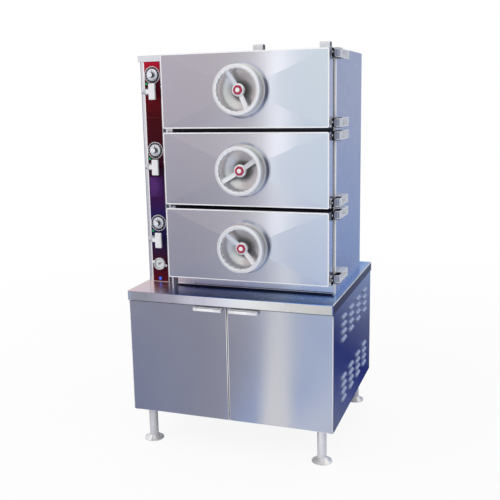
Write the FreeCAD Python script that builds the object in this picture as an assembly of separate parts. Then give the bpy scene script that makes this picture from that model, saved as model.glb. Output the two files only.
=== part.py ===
import FreeCAD, Part
import math
import os

# Pressure steamer with three cooking compartments on a cabinet base.
# Millimetres. The origin is on the floor under the middle of the cabinet,
# +X to the user's right, +Y to the back, +Z up.

Vector = FreeCAD.Vector
right = Vector(1, 0, 0)
back = Vector(0, 1, 0)
up = Vector(0, 0, 1)

# Base cabinet
base_height = 708.0            # floor to the top of the worktop
front_space = 156.0            # worktop's front edge to the body
rear_space = 150.0             # body to the worktop's back edge
left_space = 10.0              # worktop's left edge to the control column
right_space = 29.0             # body to the worktop's right edge
worktop_edge = 41.0
worktop_sheet = 2.0
worktop_corner = 5.0
cabinet_clear = 156.0          # floor to the underside of the cabinet
cabinet_side_inset = 1.5
cabinet_front_inset = 10.0
cabinet_back_inset = 12.0
cabinet_sheet = 1.5
cabinet_rail = 30.0
cabinet_rail_sheet = 2.5

# Cabinet doors
cabinet_door_depth = 20.0
cabinet_door_gap = 4.0         # between the two doors, and behind them
cabinet_door_corner = 2.0
cabinet_door_lip = 16.0
cabinet_door_lift = 5.0        # clear of the cabinet's underside and of the worktop edge
cabinet_pivot_inset = 7.0      # hinge axis to the door's outer edge and to its back
cabinet_pin_radius = 4.0
cabinet_tab = 3.0
cabinet_tab_reach = 14.0
cabinet_pin_grip = 12.0        # pin inside the door
pull_length = 124.0
pull_offset = 80.0             # middle of the pull to the seam of the doors
pull_reach = 24.0
pull_lip = 15.0
pull_corner = 4.0
pull_drop = 2.0
pull_sheet = 2.5

# Louvres in the side panels
louvre_length = 80.0
louvre_height = 14.0
louvre_bulge = 9.0
louvre_row_pitch = 32.5
louvre_rows = 4
louvre_columns = 4
louvre_column_pitch = 152.0
louvre_shift_back = 15.0
louvre_upper_drop = 60.0       # below the worktop's edge
louvre_lower_drop = 327.5

# Legs and flanged feet
leg_radius = 19.5
leg_wall = 2.0
leg_inset_side = 63.0          # leg axis to the worktop's edge
leg_inset_front = 71.0
leg_bottom = 67.0
leg_plate = 90.0
leg_plate_thickness = 4.0
leg_insert = 40.0
stem_clearance = 0.3
foot_flange_radius = 44.0
foot_flange_edge = 4.0
foot_flange_rise = 20.0
foot_stem_radius = 8.0
foot_stem_top = 140.0
foot_hole_radius = 5.5
foot_hole_circle = 66.0        # diameter between the two bolt holes

# Body that holds the compartments
body_side_space = 57.0         # chamber to the body's side
body_rear_space = 59.0         # behind the chambers
body_top_space = 7.0           # above the top door
body_sheet = 1.5
body_corner = 3.0
sill_lip_radius = 5.0
sill_lip_lift = 3.0

# Compartments
compartment_count = 3
sill_height = 59.0             # worktop to the lowest door
chamber_width = 600.0
chamber_height = 232.0
chamber_depth = 470.0
chamber_wall = 3.0
chamber_corner = 28.0
seat_width = 22.0
seat_thickness = 10.0
runner_width = 22.0
runner_thickness = 2.5
runner_levels = 3
runner_pitch = 62.0
runner_length = 400.0
runner_set_back = 30.0

# Compartment doors
door_side_gap = 3.0            # body's side to the door's side
door_overlap = 34.0            # door above and below the chamber
door_gap = 17.0                # between two doors
door_stand_off = 97.0          # door front to body front
door_depth = 66.0
door_sheet = 2.0
door_corner = 4.0
door_return = 4.0
door_break = 7.0               # rise of the folded front at its middle
boss_base_radius = 112.0
boss_face_radius = 104.0
boss_height = 20.0
boss_edge = 2.0
nut_radius = 22.0
nut_length = 36.0
yoke_height = 50.0
yoke_thickness = 12.0
yoke_set_back = 12.0           # door front to the yoke's front

# Pressing plate and gasket
plate_overlap_side = 18.0
plate_overlap_top = 21.0
plate_thickness = 5.0
plate_corner = 34.0
plate_travel = 8.0
closed_gap = 0.2
gasket_inset = 4.0
gasket_width = 13.0
gasket_thickness = 7.0
socket_radius = 20.0
socket_length = 19.0

# Handwheel, spindle and cap
wheel_radius = 100.0
rim_width = 20.0
rim_thickness = 22.0
wheel_stand_off = 60.0         # door front to the middle of the rim
rim_bevel = 6.0
grip_count = 24
grip_radius = 9.0
grip_bite = 3.0
hub_radius = 26.0
hub_front = 49.0               # door front to the front of the hub
hub_length = 18.0
spoke_width = 19.0
spoke_thickness = 8.0
spoke_root = 6.0               # spoke inside the hub
spoke_tip = 4.0                # spoke inside the rim
spoke_set_back = 3.0           # behind the hub's front
spoke_angles = (118.0, 32.0, 135.0)
cap_radius = 20.0
cap_thickness = 4.0
cap_bevel = 1.5
cap_nut_radius = 9.0
cap_nut_thickness = 2.5
spindle_radius = 10.0
spindle_end_gap = 4.0
running_clearance = 0.05
running_gap = 0.5
collar_radius = 14.0
collar_length = 4.0
collar_gap = 0.2

# Door hinges
hinge_height = 34.0
hinge_plate = 3.0
hinge_out = 13.0               # hinge axis outside the body's side
hinge_ahead = 14.0             # hinge axis in front of the body
hinge_length = 135.0           # bracket along the body's side
hinge_nose = 12.0              # ear around the axis
hinge_set_back = 2.0           # plate behind the body's front edge
hinge_pin_radius = 5.0
knuckle_radius = 9.0
knuckle_gap = 0.5
strap_thickness = 4.5
strap_reach = 44.0             # wide edge of the strap's plate
strap_short_reach = 20.0       # narrow edge
strap_seat = 0.5               # into the door's side
strap_bend = 3.0               # bend ahead of the bracket's nose
strap_foot = 12.0

# Latch
latch_pivot_in = 40.0          # from the door's left edge
latch_pivot_back = 17.0        # from the door's front
latch_pivot_radius = 4.0
latch_eye_radius = 9.0
latch_arm_width = 10.0
latch_thickness = 7.0
latch_gap = 2.0
latch_stud_proud = 6.0
hook_play = 0.5
hook_depth = 9.0
hook_past = 5.0                # beyond the keeper's pin
hook_inset = 1.0
hook_root = 3.0                # in front of the pivot's axis
hook_taper = 2.0
latch_swing = 25.0
latch_level = 29.0             # above the middle of the door
keeper_bar = 10.0
keeper_thickness = 7.0
keeper_pin_radius = 4.0
keeper_inset = 20.0            # from the door's left edge
keeper_back = 43.0             # keeper pin behind the door's front
post_radius = 8.0
post_drop = 2.0
tie_width = 14.0
tie_height = 16.0
post_gap = 30.0                # post axis to the body's left side
post_ahead = -17.0             # post axis in front of the body's front

# Lifting straps on the top
lift_width = 42.0
lift_depth = 34.0
lift_height = 25.0
lift_sheet = 3.0
lift_corner = 10.0
lift_middle_aside = 31.0       # from the body's middle
lift_right_inset = 48.0        # from the body's right side
lift_set_back = 17.0

# Control column
column_width = 101.0
column_right = 60.0            # gap between the column and the body
column_set_back = 38.0         # body front to column front
column_sheet = 1.5
column_corner = 9.0
cap_height = 26.0
cap_overhang = 6.0
column_cap_corner = 3.0
panel_width = 74.0
panel_side = 5.0               # overlay to the column's right edge
panel_thickness = 1.5
panel_foot = 2.0               # above the worktop
timer_lift = 74.0              # top timer above the middle of the top compartment
timer_spread = 6.5             # timers stand that much further apart than the doors
timer_skirt_radius = 26.0
timer_skirt_height = 5.0
timer_skirt_taper = 2.0
timer_grip_radius = 12.5
timer_grip_length = 20.0
timer_grip_taper = 1.0
timer_pointer = 3.0
timer_shaft_radius = 3.0
timer_shaft_length = 16.0
lamp_radius = 6.0
lamp_height = 4.0
lamp_tip_radius = 3.6
lamp_side = 28.0
lamp_drop = 37.0               # below the timer
lever_drop = 71.0              # below the timer
lever_hub_radius = 13.0
lever_hub_length = 34.0
lever_gap = 0.5
lever_axis_ahead = 24.0
lever_pin_radius = 5.0
bracket_thickness = 5.0
bracket_base = 4.0
bracket_nose_radius = 10.4
bracket_side = 2.0             # from the overlay's left edge
paddle_width = 31.0
paddle_height = 68.0
paddle_thickness = 12.0
paddle_corner = 4.0
paddle_neck = 16.0
paddle_side = 3.0              # from the overlay's right edge
paddle_ahead = 14.0            # paddle back in front of the lever's axis
gauge_level = 84.0             # above the worktop
gauge_radius = 27.0
gauge_depth = 10.0
gauge_rim = 2.5
gauge_dish = 5.0
gauge_lug_radius = 6.0
gauge_lug_thickness = 4.0
gauge_lug_circle = 31.0
gauge_lug_angle = 14.0
needle_length = 17.0
needle_width = 2.4
needle_tip = 0.8
needle_tail = 6.0
needle_thickness = 1.0
needle_level = 8.0             # in front of the overlay
needle_boss_radius = 3.5
needle_boss_thickness = 1.4
needle_pin_radius = 1.5
needle_pin_length = 3.0
needle_angle = 38.0
button_level = 16.0
button_radius = 7.0
button_height = 5.0
button_stand = 3.0             # head in front of the overlay
button_stem_radius = 5.0
button_stem_length = 20.0
button_clearance = 0.1

# Boiler and pipework
boiler_radius = 150.0
boiler_length = 500.0
boiler_head = 45.0
boiler_wall = 6.0
boiler_lift = 244.0            # boiler's axis above the cabinet's underside
boiler_dish = 0.72             # share of the radius where the head's slope changes
boiler_back = 287.0            # boiler's axis in front of the cabinet's back
saddle_thickness = 6.0
saddle_width = 220.0
saddle_spread = 150.0
element_flange = 70.0
element_reach = 30.0
dome_radius = 38.0
dome_height = 40.0
steam_pipe = 13.4
steam_rise = 30.0              # dome to the first bend
riser_set_back = 160.0         # riser behind the column's front
branch_pipe = 10.7
valve_body = 44.0
drain_pipe = 17.0
drain_inset = 120.0            # drain pipe to the body's right side
drain_back = 22.0              # drain pipe axis inside the body's back
drain_outlet_radius = 24.15
drain_outlet_length = 30.0
inlet_radius = 13.35
inlet_length = 25.0
inlet_pipe = 10.7
stub_gap = 1.0                 # stub to the back panel
inlet_aside = 110.0            # inlet to drain
feed_valve = 40.0
elbow_size = 28.0
feed_run = 80.0                # stub to the valve
feed_collar = 20.0             # on the boiler's wall
conduit_radius = 22.0
service_lift = 104.0           # pipe stubs above the cabinet's underside
feed_drop = 70.0               # below the boiler's axis
control_box_width = 180.0
control_box_height = 260.0
control_box_depth = 110.0
box_gap = 12.0
pipe_clearance = 1.0

# Places worked out from the sizes above
body_width = chamber_width + 2 * body_side_space
body_depth = chamber_depth + chamber_wall + body_rear_space
door_width = body_width - 2 * door_side_gap
door_height = chamber_height + 2 * door_overlap
compartment_pitch = door_height + door_gap
lowest_compartment = sill_height + door_height / 2
highest_compartment = lowest_compartment + (compartment_count - 1) * compartment_pitch
body_height = highest_compartment + door_height / 2 + body_top_space
plate_width = chamber_width + 2 * plate_overlap_side
plate_height = chamber_height + 2 * plate_overlap_top
base_width = left_space + column_width + column_right + body_width + right_space
base_depth = front_space + body_depth + rear_space
base_left = -base_width / 2
base_right = base_width / 2
base_front = -base_depth / 2
base_back = base_depth / 2
worktop_under = base_height - worktop_edge
side_left = base_left + cabinet_side_inset
side_right = base_right - cabinet_side_inset
cabinet_front = base_front + cabinet_front_inset
cabinet_back = base_back - cabinet_back_inset
frame_front = cabinet_front + cabinet_door_depth + cabinet_door_gap
frame_left = side_left + cabinet_sheet
frame_right = side_right - cabinet_sheet
frame_back = cabinet_back - cabinet_sheet
leg_x = base_right - leg_inset_side
leg_y = base_back - leg_inset_front

body_right = base_right - right_space
body_left = body_right - body_width
body_front = base_front + front_space
body_back = body_front + body_depth
body_centre_x = (body_left + body_right) / 2
body_top = base_height + body_height
seat_face = body_front - seat_thickness
door_front = body_front - door_stand_off
door_rear = door_front + door_depth
door_left = body_centre_x - door_width / 2
door_right = body_centre_x + door_width / 2
boss_face = door_front - boss_height
plate_rear = seat_face - plate_travel - closed_gap - gasket_thickness
plate_front = plate_rear - plate_thickness
hinge_x = body_right + hinge_out
hinge_y = body_front - hinge_ahead
post_x = body_left - post_gap
post_y = body_front - post_ahead
keeper_x = door_left + keeper_inset
keeper_y = door_front + keeper_back
latch_x = door_left + latch_pivot_in
latch_y = door_front + latch_pivot_back

column_right_side = body_left - column_right
column_left = column_right_side - column_width
column_front = body_front + column_set_back
column_top = body_top - cap_height - pipe_clearance
panel_right = column_right_side - panel_side
panel_x = panel_right - panel_width / 2
panel_front = column_front - panel_thickness
riser_x = column_left + column_width / 2
riser_y = column_front + riser_set_back
drain_x = body_right - drain_inset
drain_y = body_back - drain_back
boiler_level = cabinet_clear + boiler_lift
boiler_centre_y = cabinet_back - boiler_back
service_level = cabinet_clear + service_lift
feed_level = boiler_level - feed_drop


# Basic shapes

def block(x0, x1, y0, y1, z0, z1):
    return Part.makeBox(x1 - x0, y1 - y0, z1 - z0, Vector(x0, y0, z0))


def rod(radius, length, start, direction):
    return Part.makeCylinder(radius, length, start, direction)


def prism(points, direction):
    wire = Part.makePolygon(points + [points[0]])
    return Part.Face(wire).extrude(direction)


def round_along(shape, radius, direction):
    """Round the straight edges of a shape that run along one direction."""
    picked = []
    for edge in shape.Edges:
        if edge.Curve.TypeId != "Part::GeomLine":
            continue
        tangent = edge.tangentAt(edge.FirstParameter)
        if abs(tangent.dot(direction)) > 0.999:
            picked.append(edge)
    return shape.makeFillet(radius, picked)


def round_block(x0, x1, y0, y1, z0, z1, radius, direction):
    return round_along(block(x0, x1, y0, y1, z0, z1), radius, direction)


def turned(outline, level):
    """Solid of revolution about a door's spindle, from points given as (radius, y)."""
    points = [Vector(body_centre_x + radius, y, level) for radius, y in outline]
    face = Part.Face(Part.makePolygon(points + [points[0]]))
    return face.revolve(Vector(body_centre_x, 0, level), back, 360)


def joined(shapes):
    first = shapes[0]
    return first.fuse(shapes[1:]).removeSplitter() if len(shapes) > 1 else first


def group(shapes):
    return Part.makeCompound(shapes)


def compartment_level(number):
    """Height of the middle of a compartment; number 1 is the top one."""
    return base_height + lowest_compartment + (compartment_count - number) * compartment_pitch


compartments = range(1, compartment_count + 1)


# Base cabinet

def make_worktop():
    corner = worktop_corner
    shell = round_block(base_left, base_right, base_front, base_back,
                        worktop_under, base_height, corner, up)
    hollow = block(base_left + worktop_sheet, base_right - worktop_sheet,
                   base_front + worktop_sheet, base_back - worktop_sheet,
                   worktop_under - 1, base_height - worktop_sheet)
    shell = shell.cut(hollow)
    for pipe_x, pipe_y, radius in ((riser_x, riser_y, steam_pipe), (drain_x, drain_y, drain_pipe)):
        hole = rod(radius + pipe_clearance, worktop_edge, Vector(pipe_x, pipe_y, worktop_under), up)
        shell = shell.cut(hole)
    return shell


def make_corner_post(x, y, side_x, side_y):
    """Angle bar in one corner of the cabinet; side_x and side_y point to its inside."""
    reach_x = x + side_x * cabinet_rail
    reach_y = y + side_y * cabinet_rail
    bar = block(min(x, reach_x), max(x, reach_x), min(y, reach_y), max(y, reach_y),
                cabinet_clear, worktop_under)
    inner_x = x + side_x * cabinet_rail_sheet
    inner_y = y + side_y * cabinet_rail_sheet
    notch = block(min(inner_x, reach_x), max(inner_x, reach_x),
                  min(inner_y, reach_y), max(inner_y, reach_y), cabinet_clear, worktop_under)
    return bar.cut(notch)


def make_rail_ring(z0, z1, floor_z0, floor_z1):
    """Ring of rails; the part between floor_z0 and floor_z1 stays closed."""
    sheet = cabinet_rail_sheet
    rails = block(frame_left, frame_right, frame_front, frame_back, z0, z1)
    hollow = block(frame_left + sheet, frame_right - sheet, frame_front + sheet,
                   frame_back - sheet, z0, z1)
    if floor_z1 > floor_z0:
        hollow = hollow.cut(block(frame_left, frame_right, frame_front, frame_back,
                                  floor_z0, floor_z1))
    return rails.cut(hollow)


def cabinet_pivot(side):
    """Axis of a cabinet door; side is -1 for the left door, +1 for the right one."""
    x = side * (side_right - cabinet_pivot_inset)
    y = cabinet_front + cabinet_door_depth - cabinet_pivot_inset
    return x, y


def make_cabinet_frame():
    pieces = [
        make_corner_post(frame_left, frame_front, 1, 1),
        make_corner_post(frame_right, frame_front, -1, 1),
        make_corner_post(frame_left, frame_back, 1, -1),
        make_corner_post(frame_right, frame_back, -1, -1),
        make_rail_ring(worktop_under - cabinet_rail, worktop_under, 0, 0),
        make_rail_ring(cabinet_clear, cabinet_clear + cabinet_rail,
                       cabinet_clear, cabinet_clear + cabinet_rail_sheet),
    ]
    for side in (-1, 1):
        x, y = cabinet_pivot(side)
        for z in (cabinet_clear, worktop_under - cabinet_tab):
            outer = side * (side_right - cabinet_sheet)
            inner = x - side * cabinet_tab_reach
            tab = block(min(outer, inner), max(outer, inner),
                        y - cabinet_pivot_inset, frame_front + cabinet_rail_sheet,
                        z, z + cabinet_tab)
            pieces.append(tab.cut(rod(cabinet_pin_radius, cabinet_tab, Vector(x, y, z), up)))
    return joined(pieces)


def make_wedge(face_x, tip_x, half_root, half_tip, y, low, high, tip_high):
    """Wedge that stands on a sheet at face_x and narrows to its lip at tip_x."""
    root = [Vector(face_x, y - half_root, low), Vector(face_x, y + half_root, low),
            Vector(face_x, y + half_root, high), Vector(face_x, y - half_root, high)]
    tip = [Vector(tip_x, y - half_tip, low), Vector(tip_x, y + half_tip, low),
           Vector(tip_x, y + half_tip, tip_high), Vector(tip_x, y - half_tip, tip_high)]
    faces = [Part.Face(Part.makePolygon(loop + [loop[0]])) for loop in (root, tip)]
    for index in range(4):
        there = (index + 1) % 4
        side = [root[index], root[there], tip[there], tip[index], root[index]]
        faces.append(Part.Face(Part.makePolygon(side)))
    wedge = Part.makeSolid(Part.makeShell(faces))
    if wedge.Volume < 0:
        wedge.reverse()
    return wedge


def make_louvre(side, y, z):
    """Hood of one louvre, and the hollow that opens it downwards."""
    outer = side * side_right
    low, high = z - louvre_height / 2, z + louvre_height / 2
    half, taper = louvre_length / 2, louvre_bulge * 0.7
    sheet = cabinet_sheet
    hood = make_wedge(outer, outer + side * louvre_bulge, half, half - taper, y,
                      low, high, low + louvre_height * 0.4)
    hollow = make_wedge(outer - side * sheet, outer + side * (louvre_bulge - sheet),
                        half - sheet, half - taper - sheet, y,
                        low - sheet, high - sheet, low + louvre_height * 0.4 - sheet)
    return hood, hollow


def louvre_places():
    places = []
    for drop in (louvre_upper_drop, louvre_lower_drop):
        for row in range(louvre_rows):
            for column in range(louvre_columns):
                y = louvre_shift_back + (column - (louvre_columns - 1) / 2) * louvre_column_pitch
                places.append((y, worktop_under - drop - row * louvre_row_pitch))
    return places


def make_side_panel(side):
    outer = side * side_right
    inner = side * (side_right - cabinet_sheet)
    sheet = block(min(inner, outer), max(inner, outer), frame_front, cabinet_back,
                  cabinet_clear, worktop_under)
    louvres = [make_louvre(side, y, z) for y, z in louvre_places()]
    hoods = [hood for hood, hollow in louvres]
    hollows = [hollow for hood, hollow in louvres]
    return sheet.fuse(hoods).cut(hollows)


def make_back_panel():
    sheet = block(frame_left, frame_right, frame_back, cabinet_back, cabinet_clear, worktop_under)
    for x, radius in service_holes():
        hole = rod(radius, cabinet_sheet, Vector(x, frame_back, service_level), back)
        sheet = sheet.cut(hole)
    return sheet


def service_holes():
    return ((drain_x, drain_pipe + pipe_clearance),
            (drain_x - inlet_aside, inlet_pipe + pipe_clearance),
            (-drain_x, conduit_radius))


def make_cabinet_door(side):
    """Folded door with its pull; side is -1 for the left door, +1 for the right one."""
    outer = side * side_right
    seam = side * cabinet_door_gap / 2
    x0, x1 = min(outer, seam), max(outer, seam)
    y0, y1 = cabinet_front, cabinet_front + cabinet_door_depth
    z0 = cabinet_clear + cabinet_door_lift
    z1 = worktop_under - cabinet_door_lift
    sheet = cabinet_sheet
    door = round_block(x0, x1, y0, y1, z0, z1, cabinet_door_corner, up)
    door = door.cut(block(x0 + sheet, x1 - sheet, y0 + sheet, y1 - sheet, z0 + sheet, z1 - sheet))
    lip = cabinet_door_lip
    door = door.cut(block(x0 + lip, x1 - lip, y1 - sheet, y1, z0 + lip, z1 - lip))
    x, y = cabinet_pivot(side)
    bore = rod(cabinet_pin_radius + running_clearance, z1 - z0, Vector(x, y, z0), up)
    door = door.cut(bore)
    middle = side * pull_offset
    top = z1 - pull_drop
    pull = block(middle - pull_length / 2, middle + pull_length / 2,
                 y0 - pull_reach, y0 + sheet / 2, top - pull_lip, top)
    pull = round_along(pull, pull_corner, back)
    inside = block(middle - pull_length, middle + pull_length,
                   y0 - pull_reach + pull_sheet, y0 - 0.001, top - pull_lip - 1, top - pull_sheet)
    return door.fuse(pull.cut(inside))


def make_leg(sign_x, sign_y):
    """Tube under a square plate; a threaded insert at its bottom takes the foot's stem."""
    x, y = sign_x * leg_x, sign_y * leg_y
    half = leg_plate / 2
    plate = block(x - half, x + half, y - half, y + half,
                  cabinet_clear - leg_plate_thickness, cabinet_clear)
    tube = rod(leg_radius, cabinet_clear - leg_bottom, Vector(x, y, leg_bottom), up)
    insert_top = leg_bottom + leg_insert
    hollow = rod(leg_radius - leg_wall, cabinet_clear - leg_plate_thickness - insert_top,
                 Vector(x, y, insert_top), up)
    thread = rod(foot_stem_radius + stem_clearance, leg_insert, Vector(x, y, leg_bottom), up)
    return plate.fuse(tube).cut(hollow).cut(thread)


def make_foot(sign_x, sign_y):
    """Flanged foot on a threaded stem that screws into the leg."""
    x, y = sign_x * leg_x, sign_y * leg_y
    outline = [(0, 0), (foot_flange_radius, 0), (foot_flange_radius, foot_flange_edge),
               (leg_radius, foot_flange_rise), (leg_radius, leg_bottom),
               (foot_stem_radius, leg_bottom), (foot_stem_radius, foot_stem_top),
               (0, foot_stem_top)]
    points = [Vector(x + r, y, z) for r, z in outline]
    face = Part.Face(Part.makePolygon(points + [points[0]]))
    foot = face.revolve(Vector(x, y, 0), up, 360)
    for side in (-1, 1):
        hole = rod(foot_hole_radius, foot_flange_rise,
                   Vector(x + side * foot_hole_circle / 2, y, 0), up)
        foot = foot.cut(hole)
    return foot


# Body round the compartments

def make_body_casing():
    """Wrapper: left side, right side, top and back."""
    shell = round_block(body_left, body_right, body_front + body_sheet, body_back,
                        base_height, body_top, body_corner, up)
    hollow = block(body_left + body_sheet, body_right - body_sheet, body_front,
                   body_back - body_sheet, base_height, body_top - body_sheet)
    shell = shell.cut(hollow)
    for number in compartments:
        pipe_level = compartment_level(number)
        hole = rod(branch_pipe + pipe_clearance, 3 * body_sheet,
                   Vector(body_left - body_sheet, riser_y, pipe_level), right)
        shell = shell.cut(hole)
    return shell


def chamber_outer(number, extra):
    half_w = chamber_width / 2 + chamber_wall + extra
    half_h = chamber_height / 2 + chamber_wall + extra
    level = compartment_level(number)
    return round_block(body_centre_x - half_w, body_centre_x + half_w, seat_face,
                       body_front + chamber_depth + chamber_wall, level - half_h, level + half_h,
                       chamber_corner + chamber_wall, back)


def make_body_front():
    """Front sheet with a mouth for each compartment and a rolled sill."""
    sheet = block(body_left + body_sheet, body_right - body_sheet, body_front,
                  body_front + body_sheet, base_height, body_top - body_sheet)
    for number in compartments:
        sheet = sheet.cut(chamber_outer(number, 0))
    lip = rod(sill_lip_radius, body_width - 2 * body_sheet,
              Vector(body_left + body_sheet, body_front + body_sheet / 2,
                     base_height + sill_lip_radius + sill_lip_lift), right)
    return joined([sheet, lip])


def make_chamber(number):
    """Cooking chamber: a drawn box with a heavy seat round its mouth."""
    level = compartment_level(number)
    half_w = chamber_width / 2
    half_h = chamber_height / 2
    seat = round_block(body_centre_x - half_w - chamber_wall - seat_width,
                       body_centre_x + half_w + chamber_wall + seat_width,
                       seat_face, body_front,
                       level - half_h - chamber_wall - seat_width,
                       level + half_h + chamber_wall + seat_width,
                       chamber_corner + seat_width, back)
    hollow = round_block(body_centre_x - half_w, body_centre_x + half_w, seat_face,
                         body_front + chamber_depth, level - half_h, level + half_h,
                         chamber_corner, back)
    return chamber_outer(number, 0).fuse(seat).cut(hollow)


def make_pan_runners():
    """Ledges welded to the side walls of each chamber, one pair for each pan."""
    ledges = []
    y0 = body_front + runner_set_back
    for number in compartments:
        level = compartment_level(number)
        for side in (-1, 1):
            wall = body_centre_x + side * chamber_width / 2
            reach = wall - side * runner_width
            for step in range(runner_levels):
                z = level + (step - (runner_levels - 1) / 2) * runner_pitch
                ledges.append(block(min(wall, reach), max(wall, reach), y0, y0 + runner_length,
                                    z, z + runner_thickness))
    return group(ledges)


def make_lifting_straps():
    """Two bent straps that stand on the body's top."""
    straps = []
    y0 = body_front + lift_set_back
    half = lift_width / 2
    for x in (body_centre_x + lift_middle_aside, body_right - lift_right_inset):
        outer = round_block(x - half, x + half, y0, y0 + lift_depth, body_top - lift_corner,
                            body_top + lift_height, lift_corner, right)
        inner = round_block(x - lift_width, x + lift_width, y0 + lift_sheet,
                            y0 + lift_depth - lift_sheet, body_top - lift_corner,
                            body_top + lift_height - lift_sheet, lift_corner - lift_sheet, right)
        below = block(x - lift_width, x + lift_width, y0 - lift_sheet,
                      y0 + lift_depth + lift_sheet, body_top - 2 * lift_corner, body_top)
        straps.append(outer.cut(inner).cut(below))
    return group(straps)


# Door hinges

def hinge_levels(number):
    """Lowest height of the top hinge and of the bottom hinge of a door."""
    level = compartment_level(number)
    return (level + door_height / 2 - hinge_height, level - door_height / 2)


def make_hinge_bracket(z0):
    """Channel on the body's side whose two ears carry the pin."""
    z1 = z0 + hinge_height
    y1 = body_front + hinge_length
    nose = hinge_nose
    slope = nose / 2
    plate = block(body_right, body_right + hinge_plate, body_front + hinge_set_back, y1, z0, z1)
    end = block(body_right, hinge_x + nose, y1 - hinge_plate, y1, z0, z1)
    pieces = [plate, end]
    for z in (z0, z1 - hinge_plate):
        pieces.append(prism([
            Vector(body_right, y1, z), Vector(body_right, hinge_y, z),
            Vector(hinge_x - nose, hinge_y - slope, z), Vector(hinge_x - slope, hinge_y - nose, z),
            Vector(hinge_x + slope, hinge_y - nose, z), Vector(hinge_x + nose, hinge_y - slope, z),
            Vector(hinge_x + nose, y1, z)], up * hinge_plate))
    bore = rod(hinge_pin_radius, hinge_height, Vector(hinge_x, hinge_y, z0), up)
    return joined(pieces).cut(bore)


def make_hinge_brackets():
    return group([make_hinge_bracket(z) for number in compartments for z in hinge_levels(number)])


def make_hinge_pins():
    pins = []
    for number in compartments:
        for z in hinge_levels(number):
            pins.append(rod(hinge_pin_radius, hinge_height, Vector(hinge_x, hinge_y, z), up))
    reach = cabinet_door_lift + cabinet_pin_grip
    for side in (-1, 1):
        x, y = cabinet_pivot(side)
        for z in (cabinet_clear, worktop_under - reach):
            pins.append(rod(cabinet_pin_radius, reach, Vector(x, y, z), up))
    return group(pins)


def make_hinge_strap(z0, outer_is_top):
    """Knuckle with its strap; a tapered plate lies against the door's side."""
    z1 = z0 + hinge_height
    low = z0 + hinge_plate + knuckle_gap
    high = z1 - hinge_plate - knuckle_gap
    barrel = rod(knuckle_radius, high - low, Vector(hinge_x, hinge_y, low), up)
    x0 = door_right - strap_seat
    x1 = door_right + strap_thickness
    bend = hinge_y - hinge_nose - strap_bend
    reach = knuckle_radius * 0.7
    bridge = prism([Vector(x0, bend - strap_foot, low), Vector(x1, bend - strap_foot, low),
                    Vector(x1, bend - strap_seat, low), Vector(hinge_x + reach, hinge_y - reach, low),
                    Vector(hinge_x - reach, hinge_y + reach, low),
                    Vector(x0, bend + strap_thickness, low)], up * (high - low))
    rear = door_rear - door_sheet
    y_wide, y_narrow = rear - strap_reach, rear - strap_short_reach
    if not outer_is_top:
        y_wide, y_narrow = y_narrow, y_wide
    plate = prism([Vector(x0, bend, z0), Vector(x0, y_narrow, z0), Vector(x0, y_wide, z1),
                   Vector(x0, bend, z1)], right * (x1 - x0))
    strap = joined([barrel, bridge, plate])
    bore = rod(hinge_pin_radius + running_clearance, hinge_height,
               Vector(hinge_x, hinge_y, z0), up)
    return strap.cut(bore)


# Compartment doors

def door_front_pyramid(level, inset, shift):
    """Shallow four-sided point on the door's front, as folded by a cross break."""
    half_w = door_width / 2 - inset
    half_h = door_height / 2 - inset
    y = door_front + shift
    corners = [Vector(body_centre_x - half_w, y, level - half_h),
               Vector(body_centre_x + half_w, y, level - half_h),
               Vector(body_centre_x + half_w, y, level + half_h),
               Vector(body_centre_x - half_w, y, level + half_h)]
    tip = Vector(body_centre_x, y - door_break, level)
    faces = [Part.Face(Part.makePolygon(corners + [corners[0]]))]
    for index in range(4):
        here, there = corners[index], corners[(index + 1) % 4]
        faces.append(Part.Face(Part.makePolygon([here, there, tip, here])))
    return Part.makeSolid(Part.makeShell(faces))


def make_boss(level):
    """Turned drum on the door's front, round the spindle."""
    return turned([(0, door_front + door_sheet), (boss_base_radius, door_front + door_sheet),
                   (boss_base_radius, door_front - boss_edge), (boss_face_radius, boss_face),
                   (0, boss_face)], level)


def make_door_shell(number):
    """Folded door pan with its boss, nut, yoke, latch stud and hinge straps."""
    level = compartment_level(number)
    half_h = door_height / 2
    sheet = door_sheet
    pan = round_block(door_left, door_right, door_front, door_rear, level - half_h,
                      level + half_h, door_corner, back)
    pan = pan.fuse(door_front_pyramid(level, door_corner * 0.3, 0))
    hollow = block(door_left + sheet, door_right - sheet, door_front + sheet, door_rear - sheet,
                   level - half_h + sheet, level + half_h - sheet)
    hollow = hollow.fuse(door_front_pyramid(level, sheet + door_corner * 0.3, sheet))
    lip = sheet + door_return
    mouth = block(door_left + lip, door_right - lip, door_rear - 2 * sheet, door_rear,
                  level - half_h + lip, level + half_h - lip)
    pan = pan.cut(hollow).cut(mouth)
    nut = rod(nut_radius, nut_length, Vector(body_centre_x, door_front, level), back)
    yoke_front = door_front + yoke_set_back
    yoke = block(door_left + sheet, door_right - sheet, yoke_front, yoke_front + yoke_thickness,
                 level - yoke_height / 2, level + yoke_height / 2)
    stud_top = latch_level + latch_thickness + latch_stud_proud
    stud = rod(latch_pivot_radius, stud_top - yoke_height / 2,
               Vector(latch_x, latch_y, level + yoke_height / 2), up)
    door = joined([pan, make_boss(level), nut, yoke])
    bore = rod(spindle_radius + running_clearance, door_depth + boss_height,
               Vector(body_centre_x, boss_face, level), back)
    door = door.cut(bore).fuse(stud)
    top_hinge, bottom_hinge = hinge_levels(number)
    return door.fuse([make_hinge_strap(top_hinge, True), make_hinge_strap(bottom_hinge, False)])


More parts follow.
